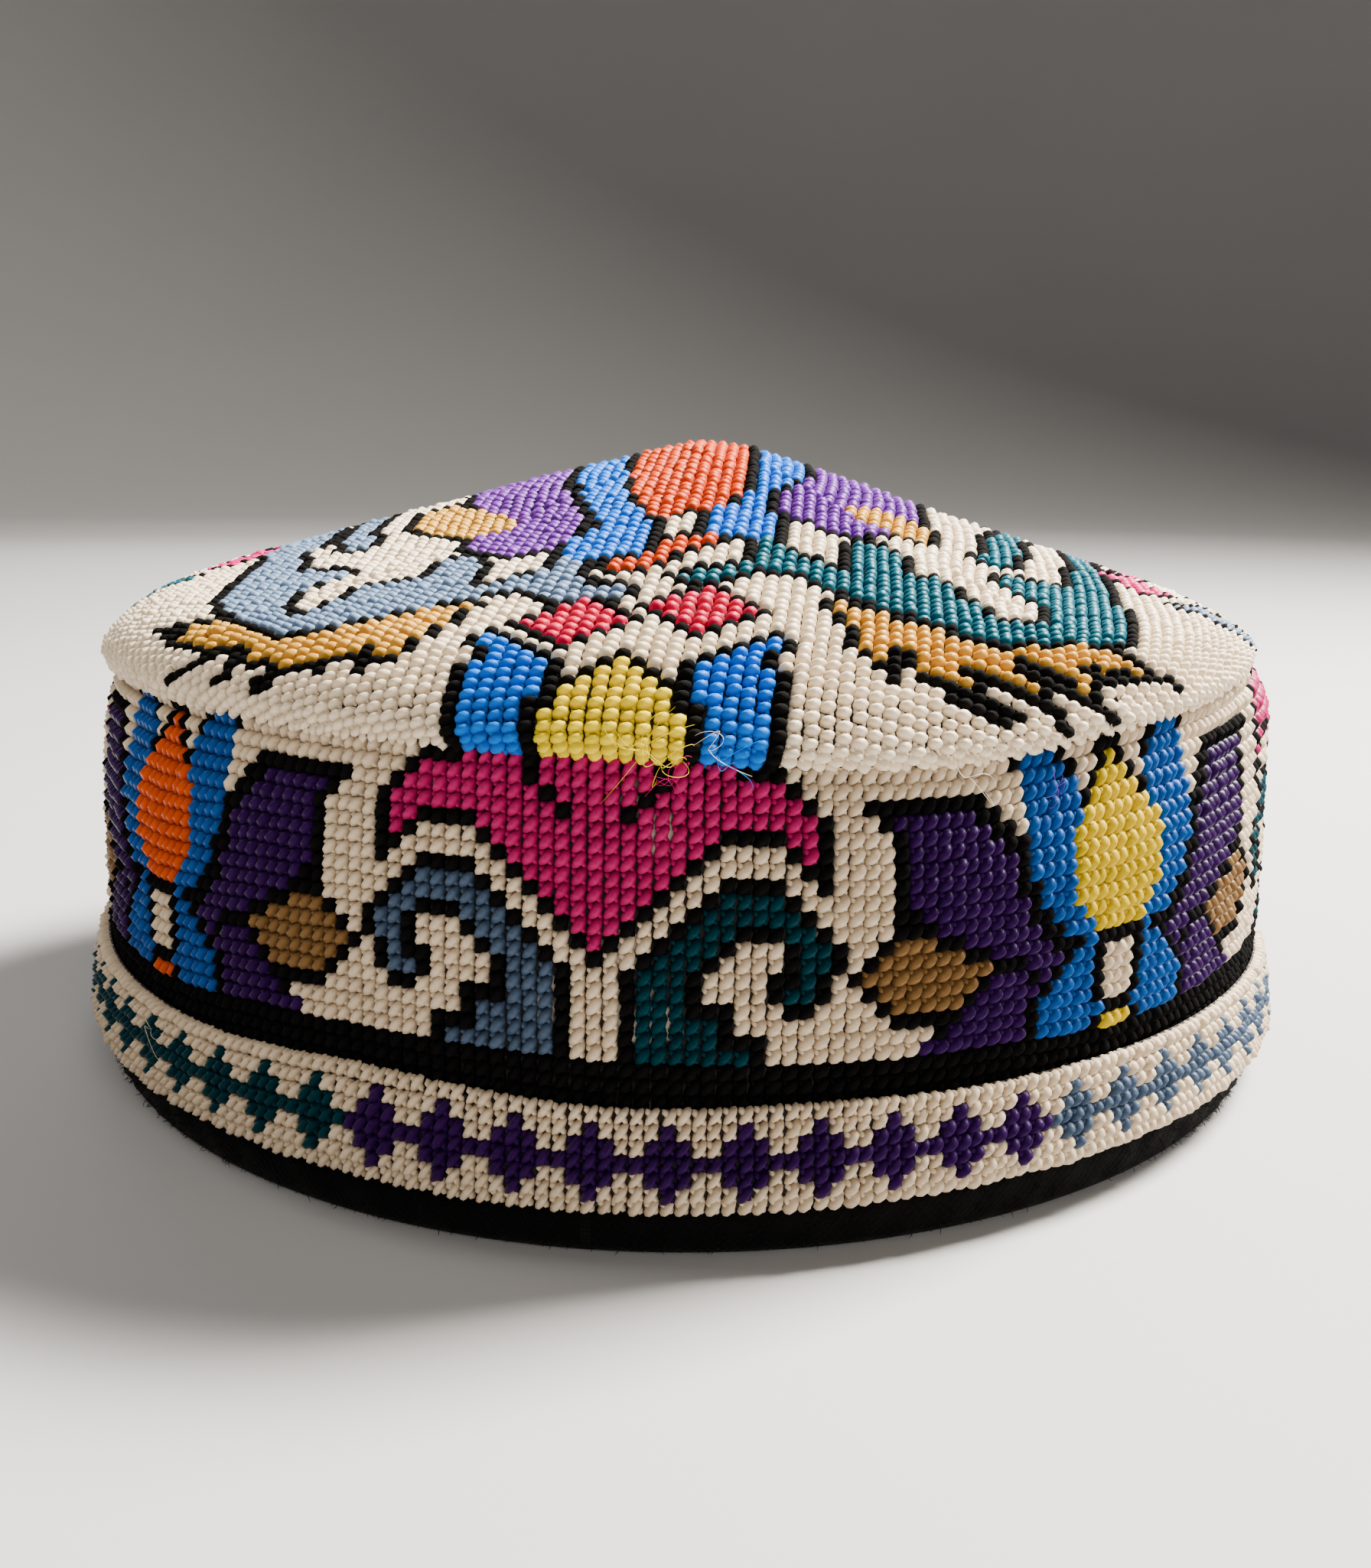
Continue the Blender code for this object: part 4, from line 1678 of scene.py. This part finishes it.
@dataclass
class Studio:
    """A pale floor that sweeps up far out, soft lamps and the camera, in metres and radians."""

    flat: float = 1.5
    smooth_flat: float = 0.4
    sweep: float = 1.2
    sweep_steps: int = 14
    first_turn: float = 0.1
    floor_top: float = 4.0
    floor_sides: int = 96
    pale: tuple[float, float, float, float] = (0.44, 0.435, 0.43, 1.0)
    palest: tuple[float, float, float, float] = (0.48, 0.475, 0.47, 1.0)
    cloud_scale: float = 3.0
    floor_roughness: float = 0.8
    lamps: tuple[Lamp, ...] = (
        Lamp("key_lamp", (0.5, 0.33, 0.8), 0.3, 78.0, (1.0, 0.95, 0.88)),
        Lamp("left_lamp", (-0.6, 0.0, 0.7), 0.5, 2.2),
        Lamp("front_lamp", (0.4, -0.85, 0.45), 0.4, 3.6),
        Lamp("back_lamp", (-0.4, 0.9, 0.5), 0.6, 3.0, (0.97, 0.98, 1.0)),
    )
    air: tuple[float, float, float, float] = (0.9, 0.92, 0.95, 1.0)
    air_strength: float = 0.1
    camera_place: tuple[float, float, float] = (0.02868, -0.26782, 0.09432)
    pitch_down: float = 0.2091
    yaw: float = 0.0032
    roll: float = 0.0165
    heading: float = -0.1067
    lens: float = 44.196
    sensor: float = 36.0
    nearest: float = 0.01

    def floor(self) -> Piece:
        """A pale sweep: flat under the cap, curving up far out on every side.

        Returns:
            The floor, which is no part of the cap.
        """
        line = [(0.0, 0.0), (self.smooth_flat * self.flat, 0.0), (self.flat, 0.0)]
        for t in np.linspace(self.first_turn, math.pi / 2.0, self.sweep_steps):
            line.append((self.flat + self.sweep * math.sin(t), self.sweep * (1.0 - math.cos(t))))
        line.append((self.flat + self.sweep, self.floor_top))
        sides = self.floor_sides
        turns = np.arange(sides) * (math.tau / sides)
        points = [(0.0, 0.0, 0.0)]
        points += [(r * math.cos(t), r * math.sin(t), z) for r, z in line[1:] for t in turns]
        faces = [(0, 1 + k, 1 + (k + 1) % sides) for k in range(sides)]
        for ring in range(len(line) - 2):
            near, far = 1 + ring * sides, 1 + (ring + 1) * sides
            faces += [(near + k, far + k, far + (k + 1) % sides, near + (k + 1) % sides)
                      for k in range(sides)]
        mesh = bpy.data.meshes.new("floor_sweep")
        mesh.from_pydata(points, [], faces)
        mesh.shade_smooth()
        floor = link("floor_sweep", mesh)
        sketch = Sketch("pale_floor")
        clouds = sketch.noise(sketch.add("TexCoord").outputs["Object"], self.cloud_scale)
        colour = sketch.blend(clouds, self.pale, self.palest)
        sketch.feed(sketch.shader, Base_Color=colour, Roughness=self.floor_roughness)
        dress(floor, sketch.material)
        return floor

    def camera(self) -> bpy.types.Object:
        """The camera, where the photograph was taken from.

        Returns:
            The scene's camera.
        """
        data = bpy.data.cameras.new("camera")
        data.sensor_fit = "HORIZONTAL"
        data.sensor_width = self.sensor
        data.lens = self.lens
        data.clip_start = self.nearest
        camera = link("camera", data)
        down, level = math.sin(self.pitch_down), math.cos(self.pitch_down)
        ahead = Vector((math.sin(self.yaw) * level, math.cos(self.yaw) * level, -down))
        right = Vector((math.cos(self.yaw), -math.sin(self.yaw), 0.0))
        up = right.cross(ahead)
        c, s = math.cos(self.roll), math.sin(self.roll)
        right, up = c * right + s * up, -s * right + c * up
        turn = Matrix.Rotation(-self.heading, 3, "Z")
        rows = [turn @ right, turn @ up, -(turn @ ahead)]
        basis = Matrix(rows).transposed().to_4x4()
        camera.matrix_world = Matrix.Translation(self.camera_place) @ basis
        bpy.context.scene.camera = camera
        return camera

    def build(self) -> None:
        """Set out the floor, the lamps, the sky light and the camera."""
        self.floor()
        for lamp in self.lamps:
            lamp.hang()
        world = bpy.data.worlds.new("studio_air")
        world.use_nodes = True
        backdrop = world.node_tree.nodes["Background"]
        backdrop.inputs["Color"].default_value = self.air
        backdrop.inputs["Strength"].default_value = self.air_strength
        bpy.context.scene.world = world
        self.camera()


def settle(pieces: Iterable[Piece]) -> None:
    """Let pieces ride on the cap's one body, and report each of them.

    Args:
        pieces: The pieces of one sub-assembly.
    """
    for piece in pieces:
        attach(piece, "root")
        faces = sum(len(face.vertices) - 2 for face in piece.data.polygons)
        log.info("%s: %d triangles", piece.name, faces)


def main() -> None:
    """Build the cap's sub-assemblies in order, then the studio round them."""
    logging.basicConfig(level=logging.INFO, format="%(name)s: %(message)s")
    form = CapForm()
    # the band's yarns are the crown's darkened, as painted shade
    shaded_band_yarns = [finish.material("band") for finish in SHADED_BAND_YARNS]
    crown_yarns = [finish.material("crown") for finish in CROWN_YARNS]
    settle(RimBinding(form).build())
    settle(TrimBand(form).build(shaded_band_yarns))
    settle(SideBand(form).build(shaded_band_yarns))
    settle(Crown(form).build(crown_yarns))
    settle(LooseThreads(form).build(crown_yarns))
    Studio().build()


if __name__ == "__main__":
    main()
